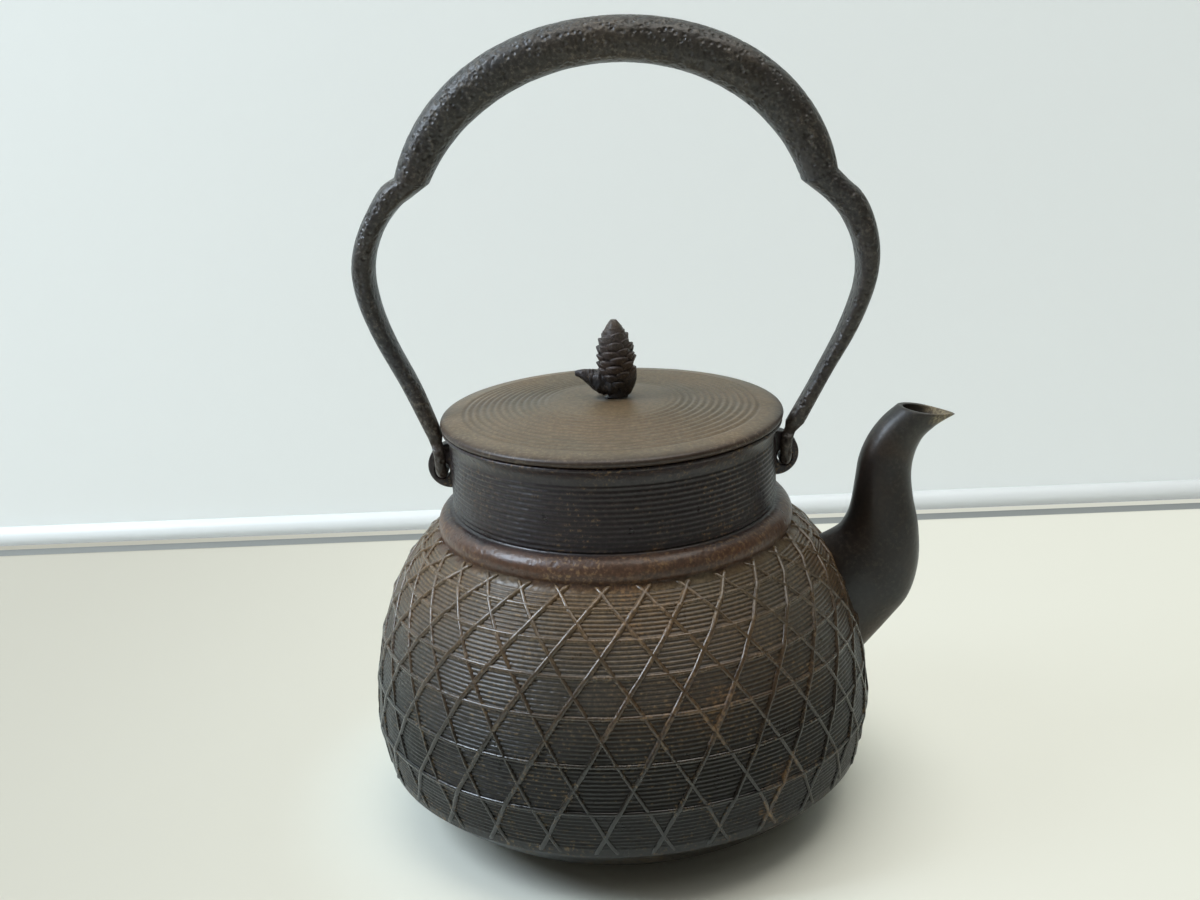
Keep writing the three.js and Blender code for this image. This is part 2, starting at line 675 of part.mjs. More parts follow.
// Rings from the top of the crown down to one ear. The side is 1 over the spout and -1 opposite.
function handleHalf(side) {
  const growth = side > 0 ? spoutSideGrowth : 1;
  const arm = side > 0 ? spoutArm : farArm;
  const centre = handleTop - crownRise;
  const innerCentre = handleTop - crownThickness - crownInnerRise;
  const rings = [];
  const crownSteps = 11;
  for (let i = 0; i <= crownSteps; i += 1) {
    const t = i / crownSteps;
    const [outerAngle, innerAngle] = arm.crownEnds.map((end) => THREE.MathUtils.degToRad(end * t));
    rings.push({
      outer: new THREE.Vector2(
        crownHalfSpan * growth * Math.sin(outerAngle) ** (2 / crownFullness),
        centre + crownRise * Math.cos(outerAngle) ** (2 / crownFullness),
      ),
      inner: new THREE.Vector2(
        crownInnerSpan * Math.sin(innerAngle),
        innerCentre + crownInnerRise * Math.cos(innerAngle),
      ),
      depth: mix(crownDepth, lobeDepth, t),
      shift: 0,
      squareness: crownSquareness,
    });
  }
  const armPoint = ([span, rise]) => (
    new THREE.Vector2(lobeHalfSpan * growth * span, mix(armFootHeight, lobeTopHeight, rise)));
  const edge = (start, table) => new THREE.SplineCurve([start, ...table.map(armPoint)]);
  const outerEdge = edge(rings[crownSteps].outer, arm.outer);
  const innerEdge = edge(rings[crownSteps].inner, arm.inner);
  const lobeSteps = 20;
  for (let i = 1; i <= lobeSteps; i += 1) {
    const t = i / lobeSteps;
    const depth = t < waistShare
      ? mix(lobeDepth, armDepth, t / waistShare)
      : mix(armDepth, armFootDepth, (t - waistShare) / (1 - waistShare));
    rings.push({
      outer: outerEdge.getPoint(t),
      inner: innerEdge.getPoint(t),
      depth,
      shift: -frontStandOff() * footForward * THREE.MathUtils.smoothstep(t, 0.75, 1),
      squareness: armSquareness,
    });
  }
  return rings.map((r) => handleRing(r.outer, r.inner, r.depth, r.shift, side, r.squareness));
}

// The leg below the arm's foot: shares of the way down to the rod, out to the foot and forward of
// the ear, and the ring's tilt.
const legSteps = [
  { down: 0.17, out: 0.4, forward: 0.88, angle: 60 },
  { down: 0.41, out: 0.1, forward: 1, angle: 82 },
];

// How far in front of the ear's middle the hook's leg stands.
function frontStandOff() {
  return earThickness / 2 + hookFrontGap + hookRadius;
}

// The round leg in front of the ear, drawn in from the arm's foot, and the rod that turns back
// through the ear's slot.
function hookRings(side) {
  const stand = frontStandOff();
  const x = hookOffset();
  const arm = side > 0 ? spoutArm : farArm;
  const growth = side > 0 ? spoutSideGrowth : 1;
  const [outerShare, innerShare] = [arm.outer.at(-1)[0], arm.inner.at(-1)[0]];
  const footX = lobeHalfSpan * growth * (outerShare + innerShare) * 0.5;
  const path = legSteps.map(({ down, out, forward, angle }) => (
    { x: mix(x, footX, out), y: -stand * forward, z: mix(armFootHeight, hookHeight, down), angle }));
  const turn = 4;
  for (let i = 0; i <= turn; i += 1) {
    const angle = (90 * i) / turn;
    const radians = THREE.MathUtils.degToRad(angle);
    path.push({
      x,
      y: -stand + hookBend * (1 - Math.cos(radians)),
      z: hookHeight + hookBend * (1 - Math.sin(radians)),
      angle: 90 - angle,
    });
  }
  path.push({ x, y: 0, z: hookHeight, angle: 0 });
  path.push({ x, y: earThickness / 2 + hookTail - edgeBreak, z: hookHeight, angle: 0 });
  path.push({ x, y: earThickness / 2 + hookTail, z: hookHeight, angle: 0, radius: hookRadius * 0.6 });
  return path.map((p) => {
    const radians = THREE.MathUtils.degToRad(p.angle);
    const radius = p.radius ?? hookRadius;
    const ring = [];
    for (let j = 0; j < handleSides; j += 1) {
      const angle = (2 * Math.PI * (j + 0.5)) / handleSides;
      const [c, s] = [Math.cos(angle), Math.sin(angle)];
      ring.push(new THREE.Vector3(
        side * (p.x + radius * c),
        p.y + radius * s * Math.sin(radians),
        p.z + radius * s * Math.cos(radians),
      ));
    }
    return ring;
  });
}

function handle() {
  const right = [...handleHalf(1), ...hookRings(1)];
  const left = [...handleHalf(-1), ...hookRings(-1)];
  return loft([...left.reverse(), ...right.slice(1)]);
}

function piece(name, geometry, material) {
  const mesh = new THREE.Mesh(geometry, material);
  mesh.name = name;
  return mesh;
}

const kettle = new THREE.Group();
const [shoulder, belly] = bellyParts();
kettle.add(piece('kettle_body', belly, bodyIron));
kettle.add(piece('kettle_shoulder', shoulder, bodyIron));
kettle.add(piece('kettle_base', revolve(baseProfile(), bodySegments), bodyIron));
kettle.add(piece('kettle_neck', kettleNeck(), bodyIron));
kettle.add(piece('kettle_spout', kettleSpout(), bodyIron));

const lidGroup = new THREE.Group();
lidGroup.add(piece('lid', revolve(lidProfile(), lidSegments), lidIron));
lidGroup.add(piece('lid_knob', lidKnob(), knobIron));
lidGroup.add(piece('knob_washer', knobWasher(), washerBrass));
kettle.add(lidGroup);

kettle.add(piece('handle', handle(), handleIron));

export default kettle;
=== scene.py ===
import math
import bmesh
import bpy
from mathutils import Vector, Matrix, noise


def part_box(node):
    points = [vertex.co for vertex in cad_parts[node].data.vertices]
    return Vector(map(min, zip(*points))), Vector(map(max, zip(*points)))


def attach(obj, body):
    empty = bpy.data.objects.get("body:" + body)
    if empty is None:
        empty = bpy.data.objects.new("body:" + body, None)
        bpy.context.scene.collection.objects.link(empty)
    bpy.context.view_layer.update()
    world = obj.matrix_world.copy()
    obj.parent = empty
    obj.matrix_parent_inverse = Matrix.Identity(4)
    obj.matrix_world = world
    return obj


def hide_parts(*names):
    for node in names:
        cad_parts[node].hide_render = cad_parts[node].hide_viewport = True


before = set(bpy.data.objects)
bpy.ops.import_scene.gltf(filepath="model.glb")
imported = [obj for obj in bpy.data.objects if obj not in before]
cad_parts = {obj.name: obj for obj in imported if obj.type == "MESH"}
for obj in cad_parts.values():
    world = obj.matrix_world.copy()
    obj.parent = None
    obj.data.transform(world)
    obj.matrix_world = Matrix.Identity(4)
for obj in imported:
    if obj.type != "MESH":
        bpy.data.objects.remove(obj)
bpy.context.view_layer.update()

# Sizes are in millimetres and become metres when a mesh is written.
mm = 0.001
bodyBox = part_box("kettle_body")
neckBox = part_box("kettle_neck")
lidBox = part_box("lid")
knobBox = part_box("lid_knob")
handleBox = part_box("handle")


def report(text):
    print("kettle: " + text)


# Numbers and curves

def clamp01(value):
    return max(0.0, min(1.0, value))


def between(low, high, share):
    return low + (high - low) * share


def easeIn(low, high, value):
    share = clamp01((value - low) / (high - low))
    return share * share * (3 - 2 * share)


def evenShares(steps):
    return [step / steps for step in range(steps + 1)]


def roundAngles(count, start=0.0):
    return [2 * math.pi * (step + start) / count for step in range(count)]


def ellipseArc(centre, radii, start, end, steps):
    points = []
    for share in evenShares(steps):
        angle = math.radians(between(start, end, share))
        points.append((centre[0] + radii[0] * math.cos(angle), centre[1] + radii[1] * math.sin(angle)))
    return points


# A smooth curve through a few points, read at a share from 0 to 1 of its length in points.
def curveThrough(points, share):
    spans = len(points) - 1
    place = min(clamp01(share) * spans, spans - 1e-6)
    index = int(place)
    t = place - index
    before, start = points[max(index - 1, 0)], points[index]
    end, after = points[index + 1], points[min(index + 2, spans)]
    result = []
    for p0, p1, p2, p3 in zip(before, start, end, after):
        v0, v1 = (p2 - p0) / 2, (p3 - p1) / 2
        result.append((2 * p1 - 2 * p2 + v0 + v1) * t ** 3
                      + (-3 * p1 + 3 * p2 - 2 * v0 - v1) * t ** 2 + v0 * t + p1)
    return result


# Meshes

def showObject(name, data):
    made = bpy.data.objects.new(name, data)
    bpy.context.scene.collection.objects.link(made)
    return made


def signedVolume(data):
    total = 0.0
    data.calc_loop_triangles()
    for triangle in data.loop_triangles:
        a, b, c = (data.vertices[i].co for i in triangle.vertices)
        total += a.dot(b.cross(c)) / 6
    return total


def inMetres(points):
    return [(x * mm, y * mm, z * mm) for x, y, z in points]


def faceOut(data):
    if signedVolume(data) < 0:
        data.flip_normals()


def makeSmooth(data):
    data.polygons.foreach_set("use_smooth", [True] * len(data.polygons))


# Keeps each point's depth in a groove, or its mark in a crease, from 0 to 1, for the materials, which paint
# shade into it.
def markGrooves(data, marks):
    data.attributes.new("groove", "FLOAT", "POINT").data.foreach_set("value", marks)
    data.update()


def meshFrom(name, points, faces):
    data = bpy.data.meshes.new(name)
    data.from_pydata(inMetres(points), [], faces)
    faceOut(data)
    makeSmooth(data)
    data.update()
    return data


# Turns a profile of (radius, height) about the middle. Marks give the depth in a groove.
def turnedMesh(name, profile, segments, marks=None, closed=False):
    points, rows, values = [], [], []
    angles = roundAngles(segments)
    for index, (radius, height) in enumerate(profile):
        count = 1 if radius < 1e-6 else segments
        rows.append(range(len(points), len(points) + count))
        points += [(radius * math.sin(angle), -radius * math.cos(angle), height) for angle in angles[:count]]
        values += [marks[index] if marks else 0.0] * count
    faces = []
    for low, high in list(zip(rows, rows[1:])) + ([(rows[-1], rows[0])] if closed else []):
        for step in range(segments):
            after = (step + 1) % segments
            if len(low) == 1:
                faces.append((low[0], high[after], high[step]))
            elif len(high) == 1:
                faces.append((low[step], low[after], high[0]))
            else:
                faces.append((low[step], low[after], high[after], high[step]))
    data = meshFrom(name, points, faces)
    if marks:
        markGrooves(data, values)
    return data


# Skins rings of points. A closed loft joins the last ring to the first, an open one gets caps.
def loftedMesh(name, rings, closed=False):
    sides = len(rings[0])
    points = [point for ring in rings for point in ring]
    faces = []
    spans = len(rings) if closed else len(rings) - 1
    for row in range(spans):
        low, high = row * sides, ((row + 1) % len(rings)) * sides
        for step in range(sides):
            after = (step + 1) % sides
            faces.append((low + step, low + after, high + after, high + step))
    if not closed:
        last = (len(rings) - 1) * sides
        faces.append(tuple(reversed(range(sides))))
        faces.append(tuple(range(last, last + sides)))
    return meshFrom(name, points, faces)


# Shows a finished mesh as a piece that rides on a body and takes the place of CAD nodes.
def addPiece(name, data, body, finish, slotName, *nodes):
    piece = showObject(name, data)
    data.materials.clear()
    data.materials.append(finishes[finish])
    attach(piece, body)
    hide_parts(*nodes)


# Node trees

class Wire:
    # A node's output that takes part in sums, so that a mask reads like a formula.
    def __init__(self, sheet, socket):
        self.sheet = sheet
        self.socket = socket

    def __add__(self, other):
        return self.sheet.sum("ADD", self, other)

    def __sub__(self, other):
        return self.sheet.sum("SUBTRACT", self, other)

    def __rsub__(self, other):
        return self.sheet.sum("SUBTRACT", other, self)

    def __mul__(self, other):
        return self.sheet.sum("MULTIPLY", self, other)

    def __truediv__(self, other):
        return self.sheet.sum("DIVIDE", self, other)

    def __pow__(self, other):
        return self.sheet.sum("POWER", self, other)

    __radd__ = __add__
    __rmul__ = __mul__


class NodeSheet:
    def __init__(self, tree):
        self.tree = tree

    # Adds a node, a shader node where the kind has no Node in its name. Its inputs take numbers,
    # vectors, wires, or red, green and blue for a colour.
    def put(self, kind, values=None, settings=None, out=0):
        node = self.tree.nodes.new(kind if "Node" in kind else "ShaderNode" + kind)
        for key, value in (settings or {}).items():
            setattr(node, key, value)
        for key, value in (values or {}).items():
            socket = node.inputs[key]
            if isinstance(value, Wire):
                self.tree.links.new(value.socket, socket)
            else:
                socket.default_value = (*value, 1.0) if socket.type == "RGBA" else value
        return Wire(self, node.outputs[out]) if len(node.outputs) else None

    def sum(self, operation, first, second):
        return self.put("Math", {0: first, 1: second}, {"operation": operation})

    def vector(self, operation, values, out=0):
        return self.put("VectorMath", values, {"operation": operation}, out)

    def atMost(self, first, second):
        return self.sum("MINIMUM", first, second)

    def atLeast(self, first, second):
        return self.sum("MAXIMUM", first, second)

    def softStep(self, value, low, high, bottom=0.0, top=1.0):
        return self.put("MapRange", {
            "Value": value, "From Min": low, "From Max": high, "To Min": bottom, "To Max": top},
            {"interpolation_type": "SMOOTHSTEP"})

    def colourMix(self, share, first, second, blend="MIX"):
        return self.put("Mix", {0: share, 6: first, 7: second},
                        {"data_type": "RGBA", "blend_type": blend}, out=2)

    def noiseAt(self, place, scale, detail, rough, warp=0.0):
        return self.put("TexNoise", {
            "Vector": place, "Scale": scale, "Detail": detail, "Roughness": rough, "Distortion": warp})

    # Grows from nothing at a radius round a spot to full near its middle.
    def nearTo(self, place, spot, radius):
        away = self.vector("DISTANCE", {0: place, 1: inMetres([spot])[0]}, out="Value")
        return self.softStep(away, radius * mm, radius * mm * 0.15)


# Clears the nodes of a material or the world.
def blankSheet(owner):
    owner.use_nodes = True
    owner.node_tree.nodes.clear()
    return NodeSheet(owner.node_tree)


# Where each mask of the iron begins and where it is full, in the value of the noise that it reads.
masks = {
    "mottle": (0.36, 0.66),
    "speckle": (0.32, 0.72),
    "crumbs": (0.52, 0.66),
    "dustPatch": (0.42, 0.62),
    "rustCrumbs": (0.3, 0.58),
    "rustTint": (0.38, 0.64),
    "dullPatch": (0.3, 0.7),
    "pits": (0.05, 0.5),
}


# One recipe for every iron surface, with its own look for each piece.
def ironFinish(name, look):
    material = bpy.data.materials.new(name)
    sheet = blankSheet(material)
    place = sheet.put("TexCoord", out="Object")
    level = sheet.put("SeparateXYZ", {"Vector": place}, out="Z")
    groove = sheet.put("Attribute", None, {"attribute_name": "groove"}, out="Fac")
    cloud = sheet.noiseAt(place, look["cloudScale"], 5.0, 0.6, 0.4)
    patch = sheet.noiseAt(place, look["patchScale"], 6.0, 0.65)
    grain = sheet.noiseAt(place, look["grainScale"], 3.0, 0.7)
    pits = sheet.put("TexVoronoi", {"Vector": place, "Scale": look["pitScale"]})

    # The ground colour changes with height, along a border that the cloud makes uneven. Where the upper
    # levels are lighter, as on the belly, weave and knob, this paints light from above.
    drifted = level + (cloud - 0.5) * (look["drift"] * mm)
    shade = look["ground"]
    for low, high, tint in look["levels"]:
        shade = sheet.colourMix(sheet.softStep(drifted, low * mm, high * mm), shade, tint)
    mottle = sheet.colourMix(sheet.softStep(cloud, *masks["mottle"]), look["cool"], look["warm"])
    shade = sheet.colourMix(1.0, shade, mottle, "MULTIPLY")
    speckle = sheet.softStep(grain, *masks["speckle"], 1 - look["speckle"], 1 + look["speckle"])
    grey = sheet.put("CombineColor", {0: speckle, 1: speckle, 2: speckle})
    shade = sheet.colourMix(1.0, shade, grey, "MULTIPLY")

    # Dust and wear sit on what stands proud, in crumbs.
    crumbs = sheet.softStep(grain, *masks["crumbs"])
    crest = (1 - groove) * sheet.softStep(patch, *masks["dustPatch"]) * crumbs * look["dustShare"]
    shade = sheet.colourMix(crest, shade, look["dust"])

    # Rust gathers in patches and about the spots, more in some grains than in others.
    rustField = patch * 0.55 + cloud * 0.45
    for spot, radius, strength in look["rustSpots"]:
        rustField = rustField + sheet.nearTo(place, spot, radius) * strength
    rustMask = sheet.softStep(rustField, look["rustFrom"], look["rustFrom"] + look["rustSpread"])
    rustMask = sheet.atMost(rustMask * sheet.softStep(grain, *masks["rustCrumbs"], 0.35, 1.0), 1.0)
    rustTint = sheet.colourMix(sheet.softStep(grain, *masks["rustTint"]), look["rustDark"], look["rust"])
    shade = sheet.colourMix(rustMask * look["rustShare"], shade, rustTint)
    # Grooves and marked creases take painted shade.
    shade = sheet.colourMix(groove * look["grooveShade"], shade, look["shadow"])

    smooth, dull = look["rough"]
    roughness = sheet.atMost(smooth + (dull - smooth) * sheet.softStep(patch, *masks["dullPatch"])
                             + rustMask * 0.2 + crest * 0.15, 0.95)
    height = (patch * 0.4 + grain * 0.6 - (1 - sheet.softStep(pits, *masks["pits"])) * look["pitDepth"]
              + rustMask * 0.3)
    bump = sheet.put("Bump", {
        "Strength": look["bump"], "Distance": look["bumpHeight"] * mm, "Height": height})
    skin = sheet.put("BsdfPrincipled", {
        "Base Color": shade, "Roughness": roughness, "Normal": bump,
        "Metallic": look["metal"], "Specular IOR Level": look["gloss"]})
    sheet.put("OutputMaterial", {"Surface": skin})
    return material


# The belly's levels run from near black at the foot to light brown at the top. This is partly its own rusty
# brown and partly painted light from above, with painted shade towards the foot. The two highest levels are
# the collar's rust and the dark neck.
bodyLook = {
    "ground": (0.004, 0.0035, 0.003),
    "levels": [(30, 52, (0.014, 0.012, 0.009)), (50, 72, (0.062, 0.045, 0.029)),
               (70, 86, (0.122, 0.084, 0.050)), (86, 96, (0.156, 0.109, 0.062)),
               (96.5, 98.5, (0.098, 0.051, 0.031)), (104.5, 106, (0.031, 0.022, 0.024))],
    "drift": 8.0,
    "cool": (0.82, 0.88, 0.95),
    "warm": (1.0, 0.88, 0.74),
    "speckle": 0.3,
    "dust": (0.30, 0.190, 0.080),
    "dustShare": 0.55,
    "rust": (0.25, 0.130, 0.048),
    "rustDark": (0.060, 0.036, 0.019),
    "shadow": (0.010, 0.009, 0.008),
    "rustShare": 0.8,
    "rustFrom": 0.62,
    "rustSpread": 0.16,
    "grooveShade": 0.6,
    "rustSpots": [((-8, -80, 66), 20, 0.12), ((26, -72, 70), 26, 0.10), ((14, -56, 101), 30, 0.19),
                  ((44, -74, 34), 20, 0.11), ((0, -70, 86), 22, 0.06), ((82, -6, 72), 24, 0.12)],
    "cloudScale": 16.0,
    "patchScale": 62.0,
    "grainScale": 760.0,
    "pitScale": 420.0,
    "pitDepth": 0.5,
    "rough": (0.26, 0.44),
    "bump": 0.55,
    "bumpHeight": 0.32,
    "metal": 0.0,
    "gloss": 0.42,
}
# The weave's levels grow lighter towards the top like the belly's. This is partly its own rusty brown and
# partly painted light from above, with painted shade towards the foot.
weaveLook = dict(
    bodyLook, ground=(0.007, 0.006, 0.005), rust=(0.22, 0.130, 0.060), gloss=0.6,
    levels=[(30, 52, (0.022, 0.018, 0.013)), (50, 72, (0.070, 0.046, 0.028)),
            (70, 86, (0.106, 0.071, 0.041)), (86, 96, (0.130, 0.088, 0.050))], dustShare=0.35,
    rustFrom=0.57, rough=(0.17, 0.32), bump=0.30)
spoutLook = dict(
    bodyLook, ground=(0.045, 0.031, 0.023), cool=(0.80, 0.90, 1.0), warm=(1.25, 0.98, 0.74),
    cloudScale=34.0, levels=[(50, 76, (0.022, 0.0175, 0.016)), (112, 130, (0.046, 0.037, 0.029))],
    speckle=0.2, dust=(0.10, 0.085, 0.062), dustShare=0.2, bump=0.22, rust=(0.34, 0.28, 0.17),
    rustDark=(0.16, 0.12, 0.072), rustFrom=0.68,
    rustSpots=[((84, -6, 68), 22, 0.10), ((106, 0, 132), 12, 0.42)], rough=(0.3, 0.42))
lidLook = dict(
    bodyLook, ground=(0.046, 0.029, 0.021), levels=[(135.4, 136.9, (0.158, 0.119, 0.076))], drift=1.6,
    cool=(0.80, 0.83, 0.82), speckle=0.22, dust=(0.27, 0.23, 0.155), dustShare=0.35,
    rust=(0.200, 0.120, 0.068), rustDark=(0.120, 0.072, 0.046), rustFrom=0.56, rustSpread=0.26,
    rustShare=0.5, rough=(0.36, 0.46), bump=0.25, grooveShade=0.3, shadow=(0.060, 0.048, 0.032),
    patchScale=40.0, rustSpots=[((8, -44, 137), 26, 0.10), ((50, -10, 136), 26, 0.08)])
handleLook = dict(
    bodyLook, ground=(0.052, 0.042, 0.035),
    levels=[(128, 150, (0.046, 0.042, 0.041)), (205, 235, (0.056, 0.048, 0.040))], drift=10.0,
    speckle=0.4, dust=(0.19, 0.160, 0.125), dustShare=0.5, rustFrom=0.66, rustShare=0.45,
    rough=(0.27, 0.44), rustSpots=[], grooveShade=0.9, pitScale=520.0, pitDepth=1.1, bump=1.0)
# The knob's upper levels carry the colour of its lit scales. This is painted light from above, making the
# knob lighter towards its top over a near-black iron.
knobLook = dict(
    bodyLook, ground=(0.024, 0.024, 0.027),
    levels=[(145, 151, (0.078, 0.058, 0.052)), (158, 165, (0.095, 0.074, 0.060))], drift=3.0,
    dust=(0.24, 0.180, 0.135), dustShare=0.5, rustFrom=0.7, rustSpots=[], rough=(0.34, 0.5),
    patchScale=170.0, cloudScale=60.0, grainScale=1500.0, bump=0.5)
brassLook = dict(
    bodyLook, ground=(0.26, 0.17, 0.08), levels=[], cool=(0.9, 0.9, 0.9), dust=(0.40, 0.30, 0.16),
    dustShare=0.3, rustFrom=0.8, rustSpots=[], rough=(0.35, 0.5), metal=0.8)

finishes = {}
for finishName, look in (("iron_shell", bodyLook), ("iron_weave", weaveLook), ("iron_spout", spoutLook),
                         ("iron_lid", lidLook), ("iron_handle", handleLook), ("iron_knob", knobLook),
                         ("washer", brassLook)):
    finishes[finishName] = ironFinish(finishName + "_finish", look)
report("finishes mixed")


# Belly, neck and mouth

shell = {
    "baseRadius": 46.0,
    "heelHeight": 20.5,     # lower edge of the lowest band
    "heelInset": 2.6,
    "widestHeight": 33.0,
    "shoulderRadius": 51.2,
    "shoulderHeight": 99.4,
    # Edges of the belly's flat bands, as shares of the way from its widest point to the shoulder.
    "bandEdges": [0.048, 0.27, 0.481, 0.648, 0.788, 0.9, 0.96],
    "wall": 3.0,
    "floor": 3.5,
    "reliefHeight": 0.9,    # how far the belly lies inside the box for the strands that stand off it
    "hatchPitch": 1.34,
    "hatchDepth": 0.36,
    "hatchLow": 22.0,
    "collarRadius": 58.8,
    "beadHalfHeight": 5.3,
    "beadSeat": 0.52,       # share of it below the bead's middle at which the bands end
    "beadArc": (-28, 78),
    # Marks that paint shade in the creases at the bead's lower and upper ends.
    "beadCreaseShade": (0.3, 0.4),
    "neckRadius": 53.5,
    "neckInner": 50.3,
    "mouthRadius": 55.6,
    "lipHeight": 5.8,
    "neckRibs": 13,
    "ribDepth": 0.34,
    "segments": 236,
}
bellyRadius = bodyBox[1].y / mm - shell["reliefHeight"]
neckFoot = neckBox[0].z / mm
mouthHeight = lidBox[1].z / mm - 6.8        # the lid's dome, its thickness and its seat are above it


# Radius and height of the band edges, from the heel up to the collar.
def bandCorners():
    corners = [(bellyRadius - shell["heelInset"], shell["heelHeight"])]
    for share in shell["bandEdges"]:
        corners.append((between(shell["shoulderRadius"], bellyRadius, math.sqrt(1 - share * share)),
                        between(shell["widestHeight"], shell["shoulderHeight"], share)))
    return corners


def bellyRadiusAt(height):
    corners = bandCorners()
    for low, high in zip(corners, corners[1:]):
        if height <= high[1] or high == corners[-1]:
            return between(low[0], high[0], (height - low[1]) / (high[1] - low[1]))


# From the heel down and in to the flat base, outside or inside the wall.
def undersideCurve(heel, flatRadius, flatHeight, steps):
    corner = (heel[0] - (heel[1] - flatHeight), flatHeight)
    points = []
    for t in evenShares(steps):
        points.append(tuple((1 - t) ** 2 * a + 2 * t * (1 - t) * b + t * t * c
                            for a, b, c in zip(heel, corner, (flatRadius, flatHeight))))
    return points


# Points of the belly's hatched bands with their outward normals, at even steps up the wall.
def bandOutline(step):
    corners = bandCorners()
    kept, travelled, nextAt = [], 0.0, 0.0
    for start, end in zip(corners, corners[1:]):
        length = math.dist(start, end)
        normal = ((end[1] - start[1]) / length, -(end[0] - start[0]) / length)
        while nextAt <= travelled + length:
            share = (nextAt - travelled) / length
            kept.append((between(start[0], end[0], share), between(start[1], end[1], share), normal, nextAt))
            nextAt += step
        travelled += length
    return kept


def shellProfile():
    heel = bandCorners()[0]
    neck, mouth, inner, wall = (shell[key] for key in ("neckRadius", "mouthRadius", "neckInner", "wall"))
    points = [(0.0, 0.0)] + undersideCurve(heel, shell["baseRadius"], 0.0, 24)[:0:-1]
    marks = [0.0] * len(points)
    beadMiddle = neckFoot - shell["beadHalfHeight"]
    top = beadMiddle - shell["beadHalfHeight"] * shell["beadSeat"]
    stepsPerLine = 5
    for radius, height, normal, along in bandOutline(shell["hatchPitch"] / stepsPerLine):
        if height > top:
            break
        depth = 0.5 - 0.5 * math.cos(2 * math.pi * along / shell["hatchPitch"])
        fade = easeIn(shell["hatchLow"], shell["hatchLow"] + 2, height) * easeIn(top, top - 2.0, height)
        push = shell["hatchDepth"] * depth * fade
        points.append((radius - normal[0] * push, height - normal[1] * push))
        marks.append(depth * fade)
    bead = ellipseArc((neck, beadMiddle), (shell["collarRadius"] - neck, shell["beadHalfHeight"]),
                      *shell["beadArc"], 16)
    points += bead
    # The bead's ends are marked so that the creases there get painted shade.
    marks += [shell["beadCreaseShade"][0]] + [0.0] * (len(bead) - 2) + [shell["beadCreaseShade"][1]]
    ribTop = mouthHeight - shell["lipHeight"]
    pitch = (ribTop - neckFoot) / shell["neckRibs"]
    ribSteps = 7
    for step in range(shell["neckRibs"] * ribSteps):
        depth = (0.5 + 0.5 * math.cos(2 * math.pi * step / ribSteps)) ** 0.8
        points.append((neck - shell["ribDepth"] * depth, neckFoot + pitch * (step + 0.5) / ribSteps))
        marks.append(depth * 0.9)
    # The cove under the lip is marked from half at its foot to nothing at its top, which paints shade at its
    # foot.
    for share in evenShares(16)[1:]:
        points.append((between(neck - 0.15, mouth, share * share), between(ribTop, mouthHeight - 0.8, share)))
        marks.append(0.5 * (1 - share))
    rim = [(mouth - 0.08, mouthHeight - 0.4), (mouth - 0.3, mouthHeight - 0.1), (mouth - 0.7, mouthHeight),
           (inner + 0.5, mouthHeight), (inner, mouthHeight - 0.5)]
    inside = [(inner, height) for height in (125.0, 112.0, shell["shoulderHeight"])]
    inside += ellipseArc((shell["shoulderRadius"], shell["widestHeight"]),
                         (bellyRadius - shell["shoulderRadius"] - wall,
                          shell["shoulderHeight"] - shell["widestHeight"] - wall), 90, 0, 14)[1:]
    inside += undersideCurve((heel[0] - wall, heel[1]), shell["baseRadius"] - 2, shell["floor"], 12)
    points += rim + inside + [(0.0, shell["floor"])]
    marks += [0.0] * (len(points) - len(marks))
    return points, marks


profile, grooveMarks = shellProfile()
addPiece("iron_shell", turnedMesh("iron_shell", profile, shell["segments"], grooveMarks), "kettle",
         "iron_shell", "body_iron", "kettle_body", "kettle_shoulder", "kettle_base", "kettle_neck")
report("shell turned, %d points in its profile" % len(profile))


# The woven relief: hoops round the belly and two families of slanting strands

weave = {
    "rowHeights": [98.4, 93.3, 85.8, 76.4, 65.2, 51.1, 36.2, 20.5],   # the band edges, from the collar down
    "strands": 30,
    "turn": 4.36,           # azimuth in degrees of a rising strand where it meets the fourth edge
    "rising": {"radius": 0.92, "rise": 0.60, "swayShare": 1.0, "taper": 1.0},
    "falling": {"radius": 0.72, "rise": 0.42, "swayShare": 1.0, "taper": 1.0},
    "hoop": {"radius": 0.78, "rise": 0.38, "swayShare": 0.4, "taper": 0.0},
    "rowSpan": (0.12, 6.94),    # where a strand begins and ends, counted in rows
    "crossLift": 0.1,
    "stepsPerRow": 12,
    "sides": 10,
    "sway": 0.26,               # how far hand work puts a strand out of line
    "swayScale": 210.0,
    "seed": 3.0,
}


def rowHeight(row):
    heights = [(height,) for height in weave["rowHeights"]]
    return curveThrough(heights, row / (len(heights) - 1))[0]


# A point on the belly, sunk below its surface, at an azimuth measured from the front.
def bellyPoint(azimuth, height, sink):
    step = 0.05
    slope = (bellyRadiusAt(height + step) - bellyRadiusAt(height - step)) / (2 * step)
    length = math.hypot(1, slope)
    radius = bellyRadiusAt(height) - sink / length
    angle = math.radians(azimuth)
    return (radius * math.sin(angle), -radius * math.cos(angle), height + sink * slope / length)


# One strand, from just under the collar to just above the heel. It lifts a little where it crosses.
def strandPoints(direction, sink):
    points = []
    firstRow, lastRow = weave["rowSpan"]
    pitch = 360 / weave["strands"]
    for share in evenShares(int(weave["stepsPerRow"] * lastRow)):
        row = between(firstRow, lastRow, share)
        shift = pitch / 2 * (3 - row)
        azimuth = weave["turn"] + shift if direction > 0 else weave["turn"] + pitch / 2 - shift
        lift = weave["crossLift"] * direction * math.cos(2 * math.pi * row)
        points.append(bellyPoint(azimuth, rowHeight(row), sink - lift))
    return points


